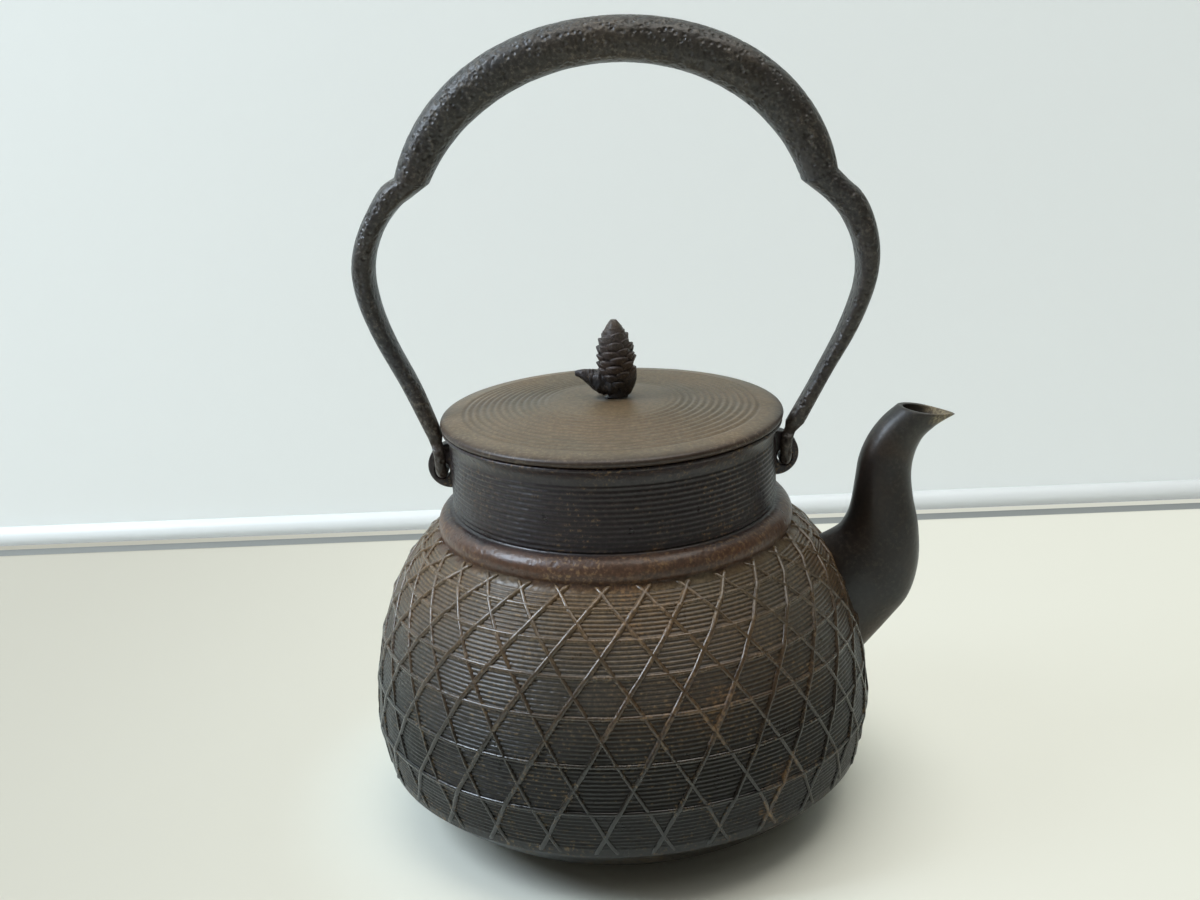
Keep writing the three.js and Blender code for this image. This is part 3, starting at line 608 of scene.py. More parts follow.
def wireMesh(name, runs):
    points, edges = [], []
    for run, closed in runs:
        first = len(points)
        points += run
        edges += [(first + i, first + i + 1) for i in range(len(run) - 1)]
        if closed:
            edges.append((len(points) - 1, first))
    data = bpy.data.meshes.new(name)
    data.from_pydata(inMetres(points), edges, [])
    return data


def treeWith(name, sockets):
    tree = bpy.data.node_groups.new(name, "GeometryNodeTree")
    for socketName, kind in sockets.items():
        tree.interface.new_socket(socketName, in_out="INPUT", socket_type="NodeSocket" + kind)
    tree.interface.new_socket("Geometry", in_out="OUTPUT", socket_type="NodeSocketGeometry")
    sheet = NodeSheet(tree)
    entry = tree.nodes.new("NodeGroupInput")
    return tree, sheet, {socket.name: Wire(sheet, socket) for socket in entry.outputs if socket.name}


# Tree that repeats a wire round the upright axis, puts each copy a little out of line and gives it
# an uneven thickness that dies away at its ends.
def strandTree():
    tree, sheet, given = treeWith("strands round the belly", {
        "Geometry": "Geometry", "Count": "Int", "Radius": "Float", "Sides": "Int", "Sway": "Float",
        "Sway Scale": "Float", "Seed": "Float", "Taper": "Float", "Finish": "Material"})
    path = sheet.put("GeometryNodeMeshToCurve", {"Mesh": given["Geometry"]})
    spots = sheet.put("GeometryNodePoints", {"Count": given["Count"]})
    angle = sheet.put("GeometryNodeInputIndex") * (2 * math.pi) / given["Count"]
    turn = sheet.put("CombineXYZ", {"Z": angle})
    copies = sheet.put("GeometryNodeInstanceOnPoints", {"Points": spots, "Instance": path, "Rotation": turn})
    laid = sheet.put("GeometryNodeRealizeInstances", {"Geometry": copies})
    here = sheet.put("GeometryNodeInputPosition")
    drift = sheet.put("TexNoise", {
        "Vector": here, "W": given["Seed"], "Scale": given["Sway Scale"], "Detail": 2.0},
        {"noise_dimensions": "4D"}, out="Color")
    centred = sheet.vector("SUBTRACT", {0: drift, 1: (0.5, 0.5, 0.5)})
    offset = sheet.vector("SCALE", {0: centred, "Scale": given["Sway"]})
    swayed = sheet.put("GeometryNodeSetPosition", {"Geometry": laid, "Offset": offset})
    along = sheet.put("GeometryNodeSplineParameter")
    blunt = sheet.softStep(sheet.atMost(along, 1 - along), 0.0, 0.012, 0.25, 1.0)
    ends = sheet.atLeast(blunt, 1 - given["Taper"])
    swell = sheet.put("TexNoise", {
        "Vector": here, "W": given["Seed"] + 5, "Scale": given["Sway Scale"] * 1.4, "Detail": 2.0},
        {"noise_dimensions": "4D"})
    ring = sheet.put("GeometryNodeCurvePrimitiveCircle",
                     {"Resolution": given["Sides"], "Radius": given["Radius"]})
    cord = sheet.put("GeometryNodeCurveToMesh", {
        "Curve": swayed, "Profile Curve": ring, "Scale": ends * (0.78 + swell * 0.44), "Fill Caps": True})
    real = sheet.put("GeometryNodeRealizeInstances", {"Geometry": cord})
    smooth = sheet.put("GeometryNodeSetShadeSmooth", {"Geometry": real, "Shade Smooth": True})
    dressed = sheet.put("GeometryNodeSetMaterial", {"Geometry": smooth, "Material": given["Finish"]})
    sheet.put("NodeGroupOutput", {"Geometry": dressed})
    return tree


# Runs a tree on a mesh and keeps the result as a plain mesh.
def grownMesh(name, source, tree, values):
    holder = showObject(name + "_source", source)
    modifier = holder.modifiers.new("grow", "NODES")
    modifier.node_group = tree
    for item in tree.interface.items_tree:
        if item.item_type == "SOCKET" and item.in_out == "INPUT" and item.name in values:
            modifier[item.identifier] = values[item.name]
    depsgraph = bpy.context.evaluated_depsgraph_get()
    grown = bpy.data.meshes.new_from_object(holder.evaluated_get(depsgraph), depsgraph=depsgraph)
    holder.modifiers.remove(modifier)
    bpy.data.objects.remove(holder)
    grown.name = name
    faceOut(grown)
    return grown


def makeWeave():
    tree = strandTree()
    hoops = []
    for height in weave["rowHeights"][1:-1]:
        sink = weave["hoop"]["radius"] - weave["hoop"]["rise"]
        hoops.append(([bellyPoint(azimuth, height, sink) for azimuth in range(0, 360, 2)], True))
    families = {"weave_hoops": (hoops, 1, "hoop")}
    for name, direction, kind in (("rising_strands", 1, "rising"), ("falling_strands", -1, "falling")):
        sink = weave[kind]["radius"] - weave[kind]["rise"]
        families[name] = ([(strandPoints(direction, sink), False)], weave["strands"], kind)
    for name, (runs, count, kind) in families.items():
        cord = weave[kind]
        data = grownMesh(name, wireMesh(name + "_path", runs), tree, {
            "Count": count, "Radius": cord["radius"] * mm, "Sides": weave["sides"],
            "Sway": weave["sway"] * mm * cord["swayShare"], "Sway Scale": weave["swayScale"],
            "Seed": weave["seed"], "Taper": cord["taper"], "Finish": finishes["iron_weave"]})
        addPiece(name, data, "kettle", "iron_weave", "body_iron", "kettle_body", "kettle_shoulder")


makeWeave()
report("weave laid")


# Spout

spout = {
    # Each station's upper and lower edge, from the belly's widest point, and its share of the taper.
    "stations": [
        (-17.0, 55.5, -6.5, 9.5, 0.0), (-10.1, 59.0, 7.2, 25.3, 0.08), (-7.5, 62.5, 14.0, 34.3, 0.2),
        (-6.0, 66.5, 17.0, 46.0, 0.34), (-5.1, 71.5, 16.7, 58.5, 0.48), (-4.3, 77.0, 14.7, 69.0, 0.62),
        (-3.5, 82.2, 13.9, 77.2, 0.74), (-1.9, 87.0, 14.9, 84.0, 0.83), (0.8, 92.0, 17.5, 89.6, 0.9),
        (4.5, 96.6, 21.3, 93.2, 0.96), (8.9, 100.3, 26.1, 97.0, 1.0)],
    "wall": 2.9,
    "lipWall": 1.9,
    "rootHalfWidth": 12.0,
    "mouthHalfWidth": 6.9,
    "beak": 1.8,
    # The lip's rounding: how far in from the edge, share of the beak, and lift.
    "lip": [(0.35, 1.0, 0.25), (0.9, 0.8, 0.3), (1.5, 0.5, 0.1)],
    "sides": 64,
    "rings": 70,
}


def spoutRing(share, inset, beak):
    ux, uz, lx, lz, taper = curveThrough(spout["stations"], share)
    middle = ((ux + lx) / 2, (uz + lz) / 2)
    half = ((lx - ux) / 2, (lz - uz) / 2)
    length = math.hypot(*half)
    width = between(spout["rootHalfWidth"], spout["mouthHalfWidth"], taper) - inset
    ring = []
    for angle in roundAngles(spout["sides"]):
        along = math.cos(angle)
        forward = max(0.0, along)
        reach = along * (length - inset) / length + beak * forward ** 6 / length
        pinch = 1 - 0.14 * beak * forward
        ring.append((bodyBox[1].y / mm + middle[0] + half[0] * reach,
                     width * math.sin(angle) * pinch,
                     shell["widestHeight"] + middle[1] + half[1] * reach))
    return ring


def makeSpout():
    shares = evenShares(spout["rings"])
    rings = [spoutRing(share, 0.0, spout["beak"] * easeIn(0.9, 1.0, share)) for share in shares]
    for inset, beakShare, lift in spout["lip"]:
        ring = spoutRing(1.0, inset, spout["beak"] * beakShare)
        rings.append([(x, y, z + lift * 0.6) for x, y, z in ring])
    for back in shares:
        thin = easeIn(1.0, 0.86, 1 - back)
        rings.append(spoutRing(1 - back, between(spout["lipWall"], spout["wall"], thin), 0.0))
    return loftedMesh("spout_casting", rings, closed=True)


addPiece("spout_casting", makeSpout(), "kettle", "iron_spout", "body_iron", "kettle_spout")
report("spout lofted")


# Ears

ear = {
    "radius": 7.6,
    "centreHeight": 119.4,
    "thickness": 5.0,
    "bevel": 0.6,
    "slotCentre": 56.4,
    "slotHalfWidth": 2.35,
    "slotLow": 117.55,
    "slotHigh": 118.45,
}


def addOutline(curve, points):
    spline = curve.splines.new("POLY")
    spline.points.add(len(points) - 1)
    for place, (x, y) in zip(spline.points, points):
        place.co = (x * mm, y * mm, 0, 1)
    spline.use_cyclic_u = True


def makeEar(side):
    curve = bpy.data.curves.new("ear_outline", "CURVE")
    curve.dimensions = "2D"
    curve.fill_mode = "BOTH"
    curve.extrude = (ear["thickness"] / 2 - ear["bevel"]) * mm
    curve.bevel_depth = ear["bevel"] * mm
    curve.bevel_resolution = 3
    root = shell["neckRadius"] - 1.5
    reach = ear["radius"] - ear["bevel"]
    outer = ellipseArc((shell["neckRadius"], ear["centreHeight"]), (reach, reach), -90, 90, 28)
    outer = [(root, ear["centreHeight"] - reach)] + outer + [(root, ear["centreHeight"] + reach)]
    width = ear["slotHalfWidth"] + ear["bevel"]
    slot = ellipseArc((ear["slotCentre"], ear["slotLow"]), (width, width), 180, 360, 14)
    slot += ellipseArc((ear["slotCentre"], ear["slotHigh"]), (width, width), 0, 180, 14)
    addOutline(curve, outer)
    addOutline(curve, slot)
    holder = showObject("ear_curve", curve)
    data = bpy.data.meshes.new_from_object(holder)
    bpy.data.objects.remove(holder)
    turn = Matrix.Rotation(math.pi / 2, 4, "X")
    if side < 0:
        turn = Matrix.Rotation(math.pi, 4, "Z") @ turn
    data.transform(turn)
    data.name = "ear"
    work = bmesh.new()
    work.from_mesh(data)
    bmesh.ops.remove_doubles(work, verts=work.verts, dist=1e-6)
    bmesh.ops.recalc_face_normals(work, faces=work.faces)
    work.to_mesh(data)
    work.free()
    makeSmooth(data)
    return data


for earName, side in (("ear_by_spout", 1), ("ear_opposite", -1)):
    addPiece(earName, makeEar(side), "kettle", "iron_shell", "body_iron", "kettle_neck")
report("ears cut")


# Lid

lid = {
    "radius": lidBox[1].y / mm,
    "thickness": 2.5,
    "dome": 4.0,
    "grooves": 13,
    "grooveFrom": 18.2,
    "grooveTo": 49.2,
    "grooveDepth": 0.36,
    "holeRadius": 2.3,
    "flangeOuter": 49.5,
    "flangeInner": 47.3,
    "segments": 220,
    # Radii between the hole and the grooves, and between the grooves and the edge.
    "innerPlaces": (6.0, 11.0, 15.0, 17.4),
    "outerPlaces": (50.0, 51.0, 52.5, 54.0, 55.0),
    # The edge's rounding: how far in from the lid's radius, and how far down.
    "edge": [(0.6, 0.3), (0.3, 0.55), (0.1, 0.9), (0.0, 1.3), (0.08, 1.75), (0.3, 2.15)],
}


def makeLid():
    crown = lidBox[1].z / mm
    underside = crown - lid["dome"] - lid["thickness"]
    bottom = lidBox[0].z / mm
    radius = lid["radius"]

    def topAt(place):
        return crown - lid["dome"] * (place / radius) ** 2

    points, marks = [], []

    def add(place, height, mark=0.0):
        points.append((place, height))
        marks.append(mark)

    for place in (lid["holeRadius"], *lid["innerPlaces"]):
        add(place, topAt(place))
    pitch = (lid["grooveTo"] - lid["grooveFrom"]) / lid["grooves"]
    steps = 8
    for step in range(lid["grooves"] * steps):
        place = lid["grooveFrom"] + pitch * step / steps
        soft = easeIn(lid["grooveFrom"] - 1, lid["grooveFrom"] + 7, place)
        depth = (0.5 - 0.5 * math.cos(2 * math.pi * step / steps)) * soft
        add(place, topAt(place) - lid["grooveDepth"] * depth, depth)
    for place in (lid["grooveTo"], *lid["outerPlaces"]):
        add(place, topAt(place) - 0.25 * easeIn(53.5, 55.5, place))
    # The lower part of the edge's rounding gets a small mark, which paints shade under the edge.
    for inset, drop in (*lid["edge"], (0.8, lid["thickness"])):
        add(radius - inset, crown - lid["dome"] - drop, 0.15 if drop > 1.8 else 0.0)
    for place, height in ((lid["flangeOuter"], underside), (lid["flangeOuter"], bottom + 0.6),
                          (lid["flangeOuter"] - 0.6, bottom), (lid["flangeInner"], bottom)):
        add(place, height)
    for place in (lid["flangeInner"] - 0.5, 38.0, 26.0, 14.0, lid["holeRadius"]):
        add(place, topAt(place) - lid["thickness"])
    return turnedMesh("lid_plate", points, lid["segments"], marks, closed=True)


addPiece("lid_plate", makeLid(), "lid", "iron_lid", "lid_iron", "lid")
report("lid turned")


# Knob: a pine cone on a stub of its branch

knob = {
    "coneStart": 3.7,       # height above the seat at which the cone leaves its stub
    "coneRadius": 6.1,
    "coneOffset": 2.4,
    "tipOffset": 1.8,
    "widest": 0.45,         # share of the cone's height at which it is widest
    "footTuck": 0.15,
    "tipTuck": 0.8,
    "tipPower": 2.4,
    "goldenAngle": 2.39996,
    "scales": 56,
    "scaleLength": 2.5,
    "scaleWidth": 2.9,
    "seed": 7,
    # The stub's sections: place along it, underside, top and half width, all from the tang's seat.
    "stub": [(-11.3, 7.3, 9.0, 0.7), (-9.7, 6.4, 9.5, 1.5), (-7.3, 4.3, 9.5, 2.4), (-5.1, 2.0, 9.4, 3.2),
             (-2.7, 0.8, 9.6, 4.0), (0.3, 0.1, 10.0, 4.6), (3.3, 0.1, 10.2, 4.8), (5.9, 0.4, 10.4, 4.5),
             (7.7, 2.6, 10.2, 3.4), (8.7, 5.6, 9.8, 1.9)],
    "footRadius": 3.3,
    "footHeight": 3.0,
    "tangRadius": 2.0,
    "headRadius": 3.4,
}
knobSeat = lidBox[1].z / mm + 0.3
coneBottom = knobSeat + knob["coneStart"]
coneHeight = knobBox[1].z / mm - coneBottom


# Share of the cone's radius at a share of its height: it swells to its widest and rounds off above.
def coneSwell(along):
    low = max(knob["widest"] - along, 0) / knob["widest"]
    high = max(along - knob["widest"], 0) / (1 - knob["widest"])
    return 1 - knob["footTuck"] * low ** 2 - knob["tipTuck"] * high ** knob["tipPower"]


def makeConeCore():
    rings = []
    for along in evenShares(36):
        radius = knob["coneRadius"] * coneSwell(along) * 0.84
        centre = between(knob["coneOffset"], knob["tipOffset"], along)
        height = coneBottom + (coneHeight - 0.9) * along
        rings.append([(centre + radius * math.cos(angle), radius * math.sin(angle), height)
                      for angle in roundAngles(32)])
    return loftedMesh("cone_core", rings)


# One scale: a broad low leaf with a thick blunt edge, rooted at the origin, growing up and facing
# out along X.
def scaleLeaf():
    rings = []
    for t in evenShares(9):
        blunt = math.sqrt(max(0.03, 1 - max(0.0, (t - 0.72) / 0.28) ** 2))
        width = knob["scaleWidth"] * (0.55 + 0.45 * math.sin(math.pi * min(1, 0.2 + 0.75 * t))) * blunt
        thick = (0.4 + 0.75 * t) * blunt
        ring = []
        for angle in roundAngles(12):
            bowl = 0.12 * (width * math.sin(angle)) ** 2
            ring.append((thick * math.cos(angle) + 0.35 * t ** 1.6 - bowl,
                         width * math.sin(angle), knob["scaleLength"] * t))
        rings.append(ring)
    return loftedMesh("scale_leaf", rings)


# Tree that sets scales round the cone in a rising spiral.
def coneTree():
    tree, sheet, given = treeWith("scales on the cone", {
        "Geometry": "Geometry", "Scales": "Int", "Cone Radius": "Float", "Cone Height": "Float",
        "Bottom": "Float", "Offset": "Float", "Tip Offset": "Float", "Seed": "Int", "Finish": "Material"})
    index = sheet.put("GeometryNodeInputIndex")
    along = (index + 0.5) / given["Scales"]
    angle = index * knob["goldenAngle"]
    low = sheet.atLeast(knob["widest"] - along, 0.0) / knob["widest"]
    high = sheet.atLeast(along - knob["widest"], 0.0) / (1 - knob["widest"])
    swell = 1 - low * low * knob["footTuck"] - knob["tipTuck"] * high ** knob["tipPower"]
    radius = given["Cone Radius"] * swell * 0.88
    sine, cosine = (sheet.put("Math", {0: angle}, {"operation": kind})
                    for kind in ("SINE", "COSINE"))
    centre = given["Offset"] + (given["Tip Offset"] - given["Offset"]) * along
    spot = sheet.put("CombineXYZ", {
        "X": centre + radius * cosine, "Y": radius * sine,
        "Z": given["Bottom"] + given["Cone Height"] * (along * 0.9 - 0.02)})
    points = sheet.put("GeometryNodePoints", {"Count": given["Scales"], "Position": spot})
    jitter = sheet.put("FunctionNodeRandomValue", {2: 0.85, 3: 1.12, "Seed": given["Seed"]},
                       {"data_type": "FLOAT"}, out=1)
    turn = sheet.put("CombineXYZ", {"Y": 0.08 - 0.75 * high, "Z": angle})
    size = jitter * (0.55 + 0.45 * swell)
    scale = sheet.put("CombineXYZ", {"X": size, "Y": size, "Z": size})
    copies = sheet.put("GeometryNodeInstanceOnPoints", {
        "Points": points, "Instance": given["Geometry"], "Rotation": turn, "Scale": scale})
    real = sheet.put("GeometryNodeRealizeInstances", {"Geometry": copies})
    dressed = sheet.put("GeometryNodeSetMaterial", {"Geometry": real, "Material": given["Finish"]})
    sheet.put("NodeGroupOutput", {"Geometry": dressed})
    return tree


# The stub lies across the lid, lumpy like bark, with its cut tip on the left.
def makeStub():
    rings = []
    for share in evenShares(80):
        x, low, high, halfWidth = curveThrough(knob["stub"], share)
        ring = []
        for angle in roundAngles(36):
            c, s = math.cos(angle), math.sin(angle)
            knuckle = noise.noise(Vector((x * 0.42, c * 1.3 + 4, s * 1.3)))
            bark = noise.noise(Vector((x * 1.5, c * 4 + 9, s * 4)))
            swell = 0.93 + (0.22 * knuckle + 0.16 * bark) * easeIn(0, 0.1, share)
            ring.append((x, halfWidth * c * swell,
                         knobSeat + between(low, high, 0.5 + 0.5 * s * min(1.0, swell))))
        rings.append(ring)
    return loftedMesh("branch_stub", rings)


def makeTang():
    low = knobBox[0].z / mm
    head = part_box("knob_washer")[0].z / mm - 0.3
    foot, tang = knob["footRadius"], knob["tangRadius"]
    outline = [(0.0, low), (1.6, low + 0.15), (2.7, low + 0.55), (knob["headRadius"], head - 0.35),
               (knob["headRadius"], head), (tang, head), (tang, knobSeat), (foot, knobSeat),
               (foot * 1.03, knobSeat + 0.4), (foot * 1.15, knobSeat + knob["footHeight"]),
               (0.0, knobSeat + knob["footHeight"])]
    data = turnedMesh("knob_tang", outline, 40)
    for vertex in data.vertices:
        if vertex.co.z > (knobSeat - 0.01) * mm:
            vertex.co.x += (knob["coneOffset"] * easeIn(tang, foot, vertex.co.xy.length / mm)) * mm
    return data


def makeScales():
    return grownMesh("cone_scales", scaleLeaf(), coneTree(), {
        "Scales": knob["scales"], "Cone Radius": knob["coneRadius"] * mm, "Cone Height": coneHeight * mm,
        "Bottom": coneBottom * mm, "Offset": knob["coneOffset"] * mm, "Tip Offset": knob["tipOffset"] * mm,
        "Seed": knob["seed"], "Finish": finishes["iron_knob"]})


for pieceName, make in (("cone_core", makeConeCore), ("cone_scales", makeScales), ("branch_stub", makeStub),
                        ("knob_tang", makeTang)):
    addPiece(pieceName, make(), "lid", "iron_knob", "knob_iron", "lid_knob")
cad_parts["knob_washer"].material_slots[0].material = finishes["washer"]
report("knob grown")


# Handle

handle = {
    "top": handleBox[1].z / mm,
    "crownThickness": 14.1,
    "crownHalfSpan": 70.0,
    "crownRise": 60.5,
    "crownFullness": 2.09,      # 2 would be an ellipse
    "crownInnerSpan": 62.0,
    "crownInnerRise": 55.0,
    "lobeHalfSpan": 83.0,
    "lobeTop": 213.7,
    "armFoot": 129.4,
    "crownDepth": 19.0,
    "lobeDepth": 17.5,
    "armDepth": 14.0,
    "armFootDepth": 6.0,
    "lean": 5.2,                # the crown stands this far towards the spout
    "hookRadius": 1.9,
    "hookHeight": 117.6,
    "hookOffset": 56.4,
    "frontGap": 1.5,
    "tail": 3.4,
    "bend": 3.2,
    # The hook's start: shares of the way down, out and forward from the arm's foot, and its tilt.
    "footPath": [(0.1, 0.62, 0.74, 45), (0.17, 0.4, 0.88, 60), (0.29, 0.22, 0.96, 74), (0.41, 0.1, 1.0, 82),
                 (0.56, 0.02, 1.0, 90)],
    "roundness": 0.85,
    "crownSquareness": 0.7,     # of the inner side, under 1 for flatter
    "armSquareness": 0.6,
    "sides": 88,
    "crownSteps": 180,
    "lobeSteps": 170,
    "pitDepth": 0.6,
    "pitSizes": (3.1, 1.6),
    "pitPatchSize": 9,
    "waveSize": 4.5,
}
standOff = ear["thickness"] / 2 + handle["frontGap"] + handle["hookRadius"]

# Degrees at which the crown's outer and inner edge end, and the arms' edges below them: shares of
# the lobe's half span, and of the way up from the arm's foot to the crown's end.
farArm = {
    "growth": 1.0,
    "crownEnds": (76.8, 67.9),
    "outer": [(0.875, 0.966), (0.923, 0.894), (0.975, 0.788), (1.0, 0.665), (0.978, 0.529), (0.918, 0.375),
              (0.819, 0.187), (0.731, 0.0)],
    "inner": [(0.747, 0.932), (0.812, 0.883), (0.878, 0.79), (0.911, 0.665), (0.895, 0.529), (0.84, 0.378),
              (0.747, 0.195), (0.673, 0.012)],
}
spoutArm = {
    "growth": 1.018,
    "crownEnds": (79.3, 71.8),
    "outer": [(0.873, 0.925), (0.927, 0.873), (0.973, 0.783), (1.0, 0.654), (0.986, 0.521), (0.928, 0.358),
              (0.831, 0.183), (0.736, 0.0)],
    "inner": [(0.729, 0.904), (0.783, 0.86), (0.85, 0.788), (0.903, 0.671), (0.911, 0.535), (0.856, 0.363),
              (0.766, 0.187), (0.667, 0.012)],
}


def handleRing(outer, inner, depth, shift, side, squareness):
    middle = ((outer[0] + inner[0]) / 2, (outer[1] + inner[1]) / 2)
    half = (outer[0] - middle[0], outer[1] - middle[1])
    ring = []
    for angle in roundAngles(handle["sides"], 0.5):
        c, s = math.cos(angle), math.sin(angle)
        out = math.copysign(abs(c) ** (squareness if c < 0 else handle["roundness"]), c)
        across = math.copysign(abs(s) ** handle["roundness"], s)
        height = middle[1] + half[1] * out
        lean = handle["lean"] * (height - handle["hookHeight"]) / (handle["top"] - handle["hookHeight"])
        ring.append((side * (middle[0] + half[0] * out) + lean, shift + depth / 2 * across, height))
    return ring


def handleHalf(side, arm):
    power = 2 / handle["crownFullness"]
    centre = handle["top"] - handle["crownRise"]
    innerCentre = handle["top"] - handle["crownThickness"] - handle["crownInnerRise"]
    rings = []
    for t in evenShares(handle["crownSteps"]):
        a, b = (math.radians(end * t) for end in arm["crownEnds"])
        outer = (handle["crownHalfSpan"] * arm["growth"] * math.sin(a) ** power,
                 centre + handle["crownRise"] * math.cos(a) ** power)
        inner = (handle["crownInnerSpan"] * math.sin(b), innerCentre + handle["crownInnerRise"] * math.cos(b))
        depth = between(handle["crownDepth"], handle["lobeDepth"], t)
        rings.append(handleRing(outer, inner, depth, 0.0, side, handle["crownSquareness"]))
    reach, foot, top = handle["lobeHalfSpan"] * arm["growth"], handle["armFoot"], handle["lobeTop"]
    edges = [[start] + [(reach * span, between(foot, top, rise)) for span, rise in arm[edge]]
             for start, edge in ((outer, "outer"), (inner, "inner"))]
    for t in evenShares(handle["lobeSteps"])[1:]:
        if t < 0.6:
            depth = between(handle["lobeDepth"], handle["armDepth"], t / 0.6)
        else:
            depth = between(handle["armDepth"], handle["armFootDepth"], (t - 0.6) / 0.4)
        shift = -standOff * 0.45 * easeIn(0.75, 1.0, t)
        outer, inner = (curveThrough(edge, t) for edge in edges)
        rings.append(handleRing(outer, inner, depth, shift, side, handle["armSquareness"]))
    return rings


def hookRings(side, arm):
    x, bend, low, foot = handle["hookOffset"], handle["bend"], handle["hookHeight"], handle["armFoot"]
    footX = handle["lobeHalfSpan"] * arm["growth"] * (arm["outer"][-1][0] + arm["inner"][-1][0]) / 2
    path = []
    for down, out, forward, tilt in handle["footPath"]:
        path.append((between(x, footX, out), -standOff * forward, between(foot, low, down), tilt, 1.0))
    bendSteps = 12
    for step in range(bendSteps + 1):
        angle = math.radians(90 * step / bendSteps)
        path.append((x, -standOff + bend * (1 - math.cos(angle)), low + bend * (1 - math.sin(angle)),
                     90 - 90 * step / bendSteps, 1.0))
    end = ear["thickness"] / 2 + handle["tail"]
    for y, size in ((-0.5, 1.0), (1.5, 1.0), (end - 1.2, 1.0), (end - 0.6, 0.97), (end - 0.15, 0.85),
                    (end, 0.6)):
        path.append((x, y, low, 0, size))
    rings = []
    for px, py, pz, degrees, size in path:
        tilt, radius = math.radians(degrees), handle["hookRadius"] * size
        ring = []
        for angle in roundAngles(handle["sides"], 0.5):
            c, s = radius * math.cos(angle), radius * math.sin(angle)
            ring.append((side * (px + c), py + s * math.sin(tilt), pz + s * math.cos(tilt)))
        rings.append(ring)
    return rings


# Depth of the forge pitting at a place, from 0 to 1: wormy hollows of two sizes.
def pitAt(place):
    coarseSize, fineSize = handle["pitSizes"]
    presence = easeIn(-0.4, 0.15, noise.noise(place / handle["pitPatchSize"]))
    coarse = 1 - easeIn(0.1, 0.5, noise.voronoi(place / coarseSize)[0][0])
    fine = 1 - easeIn(0.1, 0.48, noise.voronoi(place / fineSize + Vector((7, 3, 1)))[0][0])
    wave = 0.5 + 0.5 * noise.noise(place / handle["waveSize"])
    return clamp01(presence * (0.62 * coarse + 0.42 * fine) + 0.25 * wave)


def makeHandle():
    right, left = (handleHalf(side, arm) + hookRings(side, arm)
                   for side, arm in ((1, spoutArm), (-1, farArm)))
    data = loftedMesh("forged_handle", left[::-1] + right[1:])
    normals = [vertex.normal.copy() for vertex in data.vertices]
    marks = []
    for vertex, normal in zip(data.vertices, normals):
        place = vertex.co / mm
        strength = easeIn(124, 150, place.z) * (0.4 + 0.6 * easeIn(180, 212, place.z))
        pit = pitAt(place) * strength
        vertex.co -= normal * (handle["pitDepth"] * pit * mm)
        # The pits are marked so that the handle's finish paints shade into them.
        marks.append(clamp01(pit * 0.8))
    markGrooves(data, marks)
    return data


addPiece("forged_handle", makeHandle(), "handle", "iron_handle", "handle_iron", "handle")
report("handle forged")


# Floor, light and camera

studio = {
    "floorColour": (0.81, 0.82, 0.72),
    "floorLeftShade": (0.60, 0.60, 0.52),
    "shadeRange": (-320.0, 80.0),    # from left to right, where the floor turns from painted shade to its own colour
    "floorShadowRing": (62.0, 128.0),     # its glow grows between these distances from the middle, which leaves a painted soft shadow round the kettle's foot
    "wallColour": (0.78, 0.83, 0.81),
    "ledgeShadowColour": (0.27, 0.29, 0.28),
    "ledgeColour": (0.8, 0.83, 0.82),
    "worldColour": (0.95, 0.90, 0.80),
    "worldStrength": 0.13,
    "halfWidth": 3000.0,
    "wallDistance": 262.0,
    "wallHeight": 2500.0,
    "ledgeShadowEdges": (-16.0, -7.0),      # from the wall; this grey strip paints the shadow under the ledge
    "ledgeShadowHeight": 0.4,
    "ledgeRadius": 5.0,
    "ledgeLift": 2.0,
}


# A pale surface. The camera sees part of its colour as a steady glow, so that it stays pale.
def stageFinish(name, tint, roughness, glow, dull=None, foot=None, oneSided=False):
    material = bpy.data.materials.new(name)
    sheet = blankSheet(material)
    place = sheet.put("TexCoord", out="Object")
    soft = sheet.noiseAt(place, 3.0, 2.0, 0.5)
    share = glow
    # The dull colour paints shade on the floor, darker towards its left.
    if dull:
        across = sheet.put("SeparateXYZ", {"Vector": place}, out="X")
        start, end = studio["shadeRange"]
        tint = sheet.colourMix(sheet.softStep(across, start * mm, end * mm), dull, tint)
    # Near the kettle's foot the glow is left out, which paints a soft shadow round it.
    if foot:
        away = sheet.vector("LENGTH", {0: place}, out="Value")
        share = sheet.softStep(away, foot[0] * mm, foot[1] * mm) * glow
    shade = sheet.colourMix(sheet.softStep(soft, 0.3, 0.7) * 0.06, tint, (1, 1, 1))
    skin = sheet.put("BsdfPrincipled", {"Base Color": shade, "Roughness": roughness})
    lit = sheet.put("Emission", {"Color": tint, "Strength": 1.0})
    seen = sheet.put("LightPath", out="Is Camera Ray")
    mixed = sheet.put("MixShader", {0: seen * share, 1: skin, 2: lit})
    if oneSided:
        behind = sheet.put("NewGeometry", out="Backfacing")
        clear = sheet.put("BsdfTransparent")
        mixed = sheet.put("MixShader", {0: behind, 1: mixed, 2: clear})
    sheet.put("OutputMaterial", {"Surface": mixed})
    return material


# A flat sheet across the whole stage, between two lines given by their depth and height.
def stageSheet(name, low, high, finish):
    half = studio["halfWidth"]
    data = bpy.data.meshes.new(name)
    corners = inMetres([(-half, *low), (half, *low), (half, *high), (-half, *high)])
    data.from_pydata(corners, [], [(0, 1, 2, 3)])
    data.materials.append(finish)
    showObject(name, data)


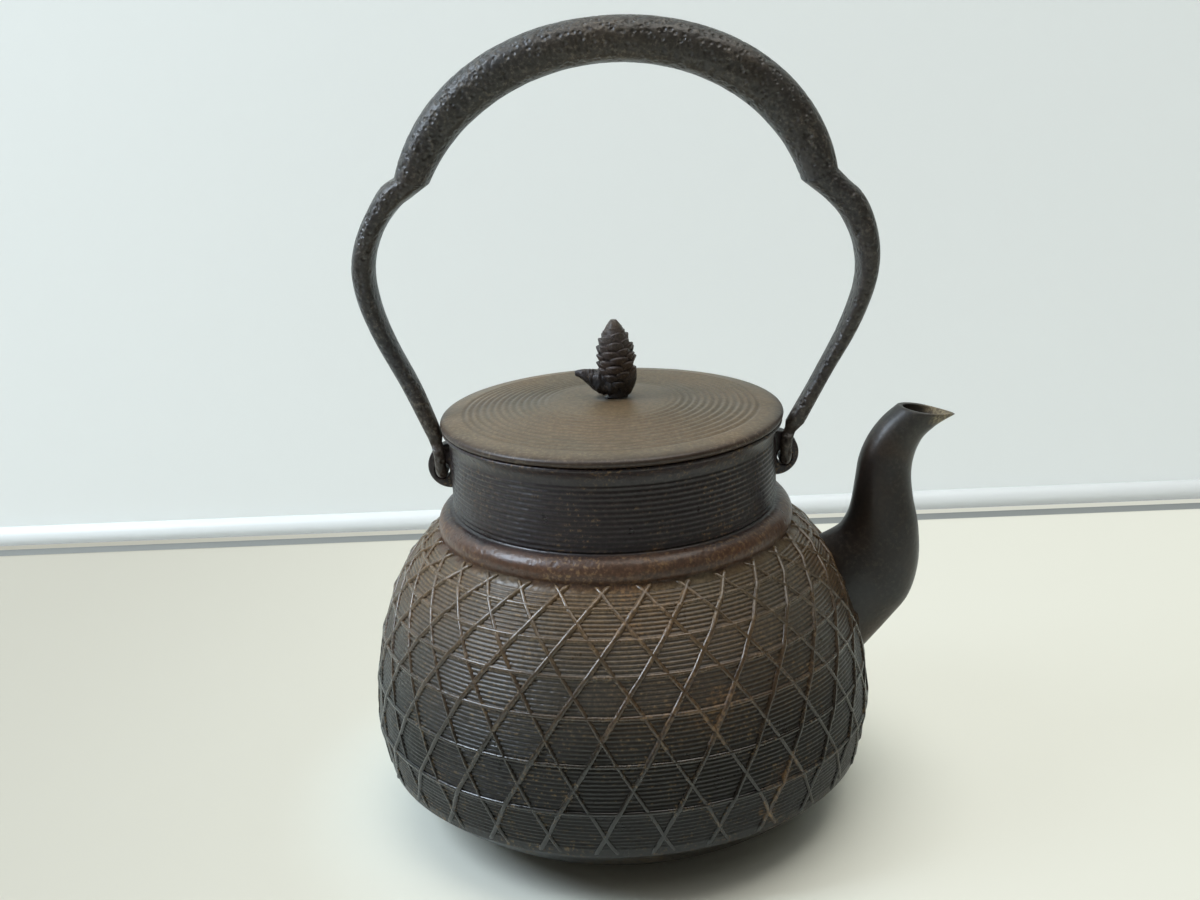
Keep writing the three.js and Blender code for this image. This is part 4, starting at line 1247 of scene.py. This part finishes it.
def makeStage():
    wall, half, radius = studio["wallDistance"], studio["halfWidth"], studio["ledgeRadius"]
    stageSheet("studio_floor", (-half, 0), (half, 0), stageFinish(
        "floor_finish", studio["floorColour"], 0.55, 0.82, studio["floorLeftShade"], studio["floorShadowRing"]))
    stageSheet("studio_wall", (wall, 0), (wall, studio["wallHeight"]),
               stageFinish("wall_finish", studio["wallColour"], 0.8, 0.66, oneSided=True))
    # A grey strip on the floor in front of the ledge paints the shadow under it.
    near, far = ((wall + edge, studio["ledgeShadowHeight"]) for edge in studio["ledgeShadowEdges"])
    stageSheet("ledge_shadow_strip", near, far, stageFinish("ledge_shadow_finish", studio["ledgeShadowColour"], 0.6, 0.6))
    ring = ellipseArc((wall - radius * 0.8, radius + studio["ledgeLift"]), (radius, radius), 0, 345, 23)
    ledge = loftedMesh("studio_ledge", [[(x, y, z) for y, z in ring] for x in (-half, half)])
    ledge.materials.append(stageFinish("ledge_finish", studio["ledgeColour"], 0.4, 0.3))
    showObject("studio_ledge", ledge)


def addLamp(name, size, power, tint, position, target):
    lamp = bpy.data.lights.new(name, "AREA")
    lamp.shape = "RECTANGLE"
    lamp.size, lamp.size_y = size
    lamp.energy = power
    lamp.color = tint
    holder = showObject(name, lamp)
    holder.location = position
    holder.rotation_euler = (Vector(target) - Vector(position)).to_track_quat("-Z", "Y").to_euler()


makeStage()


# The world lights the kettle softly, and the camera sees it pale behind the floor.
def makeWorld():
    world = bpy.data.worlds.new("studio_world")
    bpy.context.scene.world = world
    sheet = blankSheet(world)
    seen = sheet.put("LightPath", out="Is Camera Ray")
    soft = sheet.put("Background", {
        "Color": studio["worldColour"], "Strength": studio["worldStrength"]})
    pale = sheet.put("Background", {"Color": studio["wallColour"], "Strength": 1.0})
    mixed = sheet.put("MixShader", {0: seen, 1: soft, 2: pale})
    sheet.put("OutputWorld", {"Surface": mixed})


makeWorld()
addLamp("window_lamp", (0.36, 0.5), 11.5, (0.74, 0.86, 1.0), (-0.77, -0.14, 0.82), (0, 0, 0.08))
addLamp("ceiling_lamp", (1.4, 1.0), 17.0, (1.0, 0.98, 0.93), (0.1, 0.15, 1.4), (0, 0, 0.1))

view = {
    "distance": 449.0,
    "height": 262.0,
    "tilt": 17.31,
    "pan": -0.54,
    "roll": -2.46,
    "focal": 1423.0,        # in pixels of a 1200 pixel wide frame
}


def placeCamera():
    tilt, pan, roll = (math.radians(view[key]) for key in ("tilt", "pan", "roll"))
    ahead = Vector((math.sin(pan) * math.cos(tilt), math.cos(pan) * math.cos(tilt), -math.sin(tilt)))
    right = ahead.cross(Vector((0, 0, 1))).normalized()
    up = right.cross(ahead)
    rolledRight = math.cos(roll) * right + math.sin(roll) * up
    rolledUp = -math.sin(roll) * right + math.cos(roll) * up
    data = bpy.data.cameras.new("camera")
    data.sensor_width = 36.0
    data.lens = 36.0 * view["focal"] / 1200.0
    holder = showObject("camera", data)
    turn = Matrix((rolledRight, rolledUp, -ahead)).transposed().to_4x4()
    holder.matrix_world = Matrix.Translation(Vector((0, -view["distance"], view["height"])) * mm) @ turn
    bpy.context.scene.camera = holder


placeCamera()
bpy.context.scene.view_settings.view_transform = "Standard"
report("studio lit")

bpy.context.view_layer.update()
report("done")
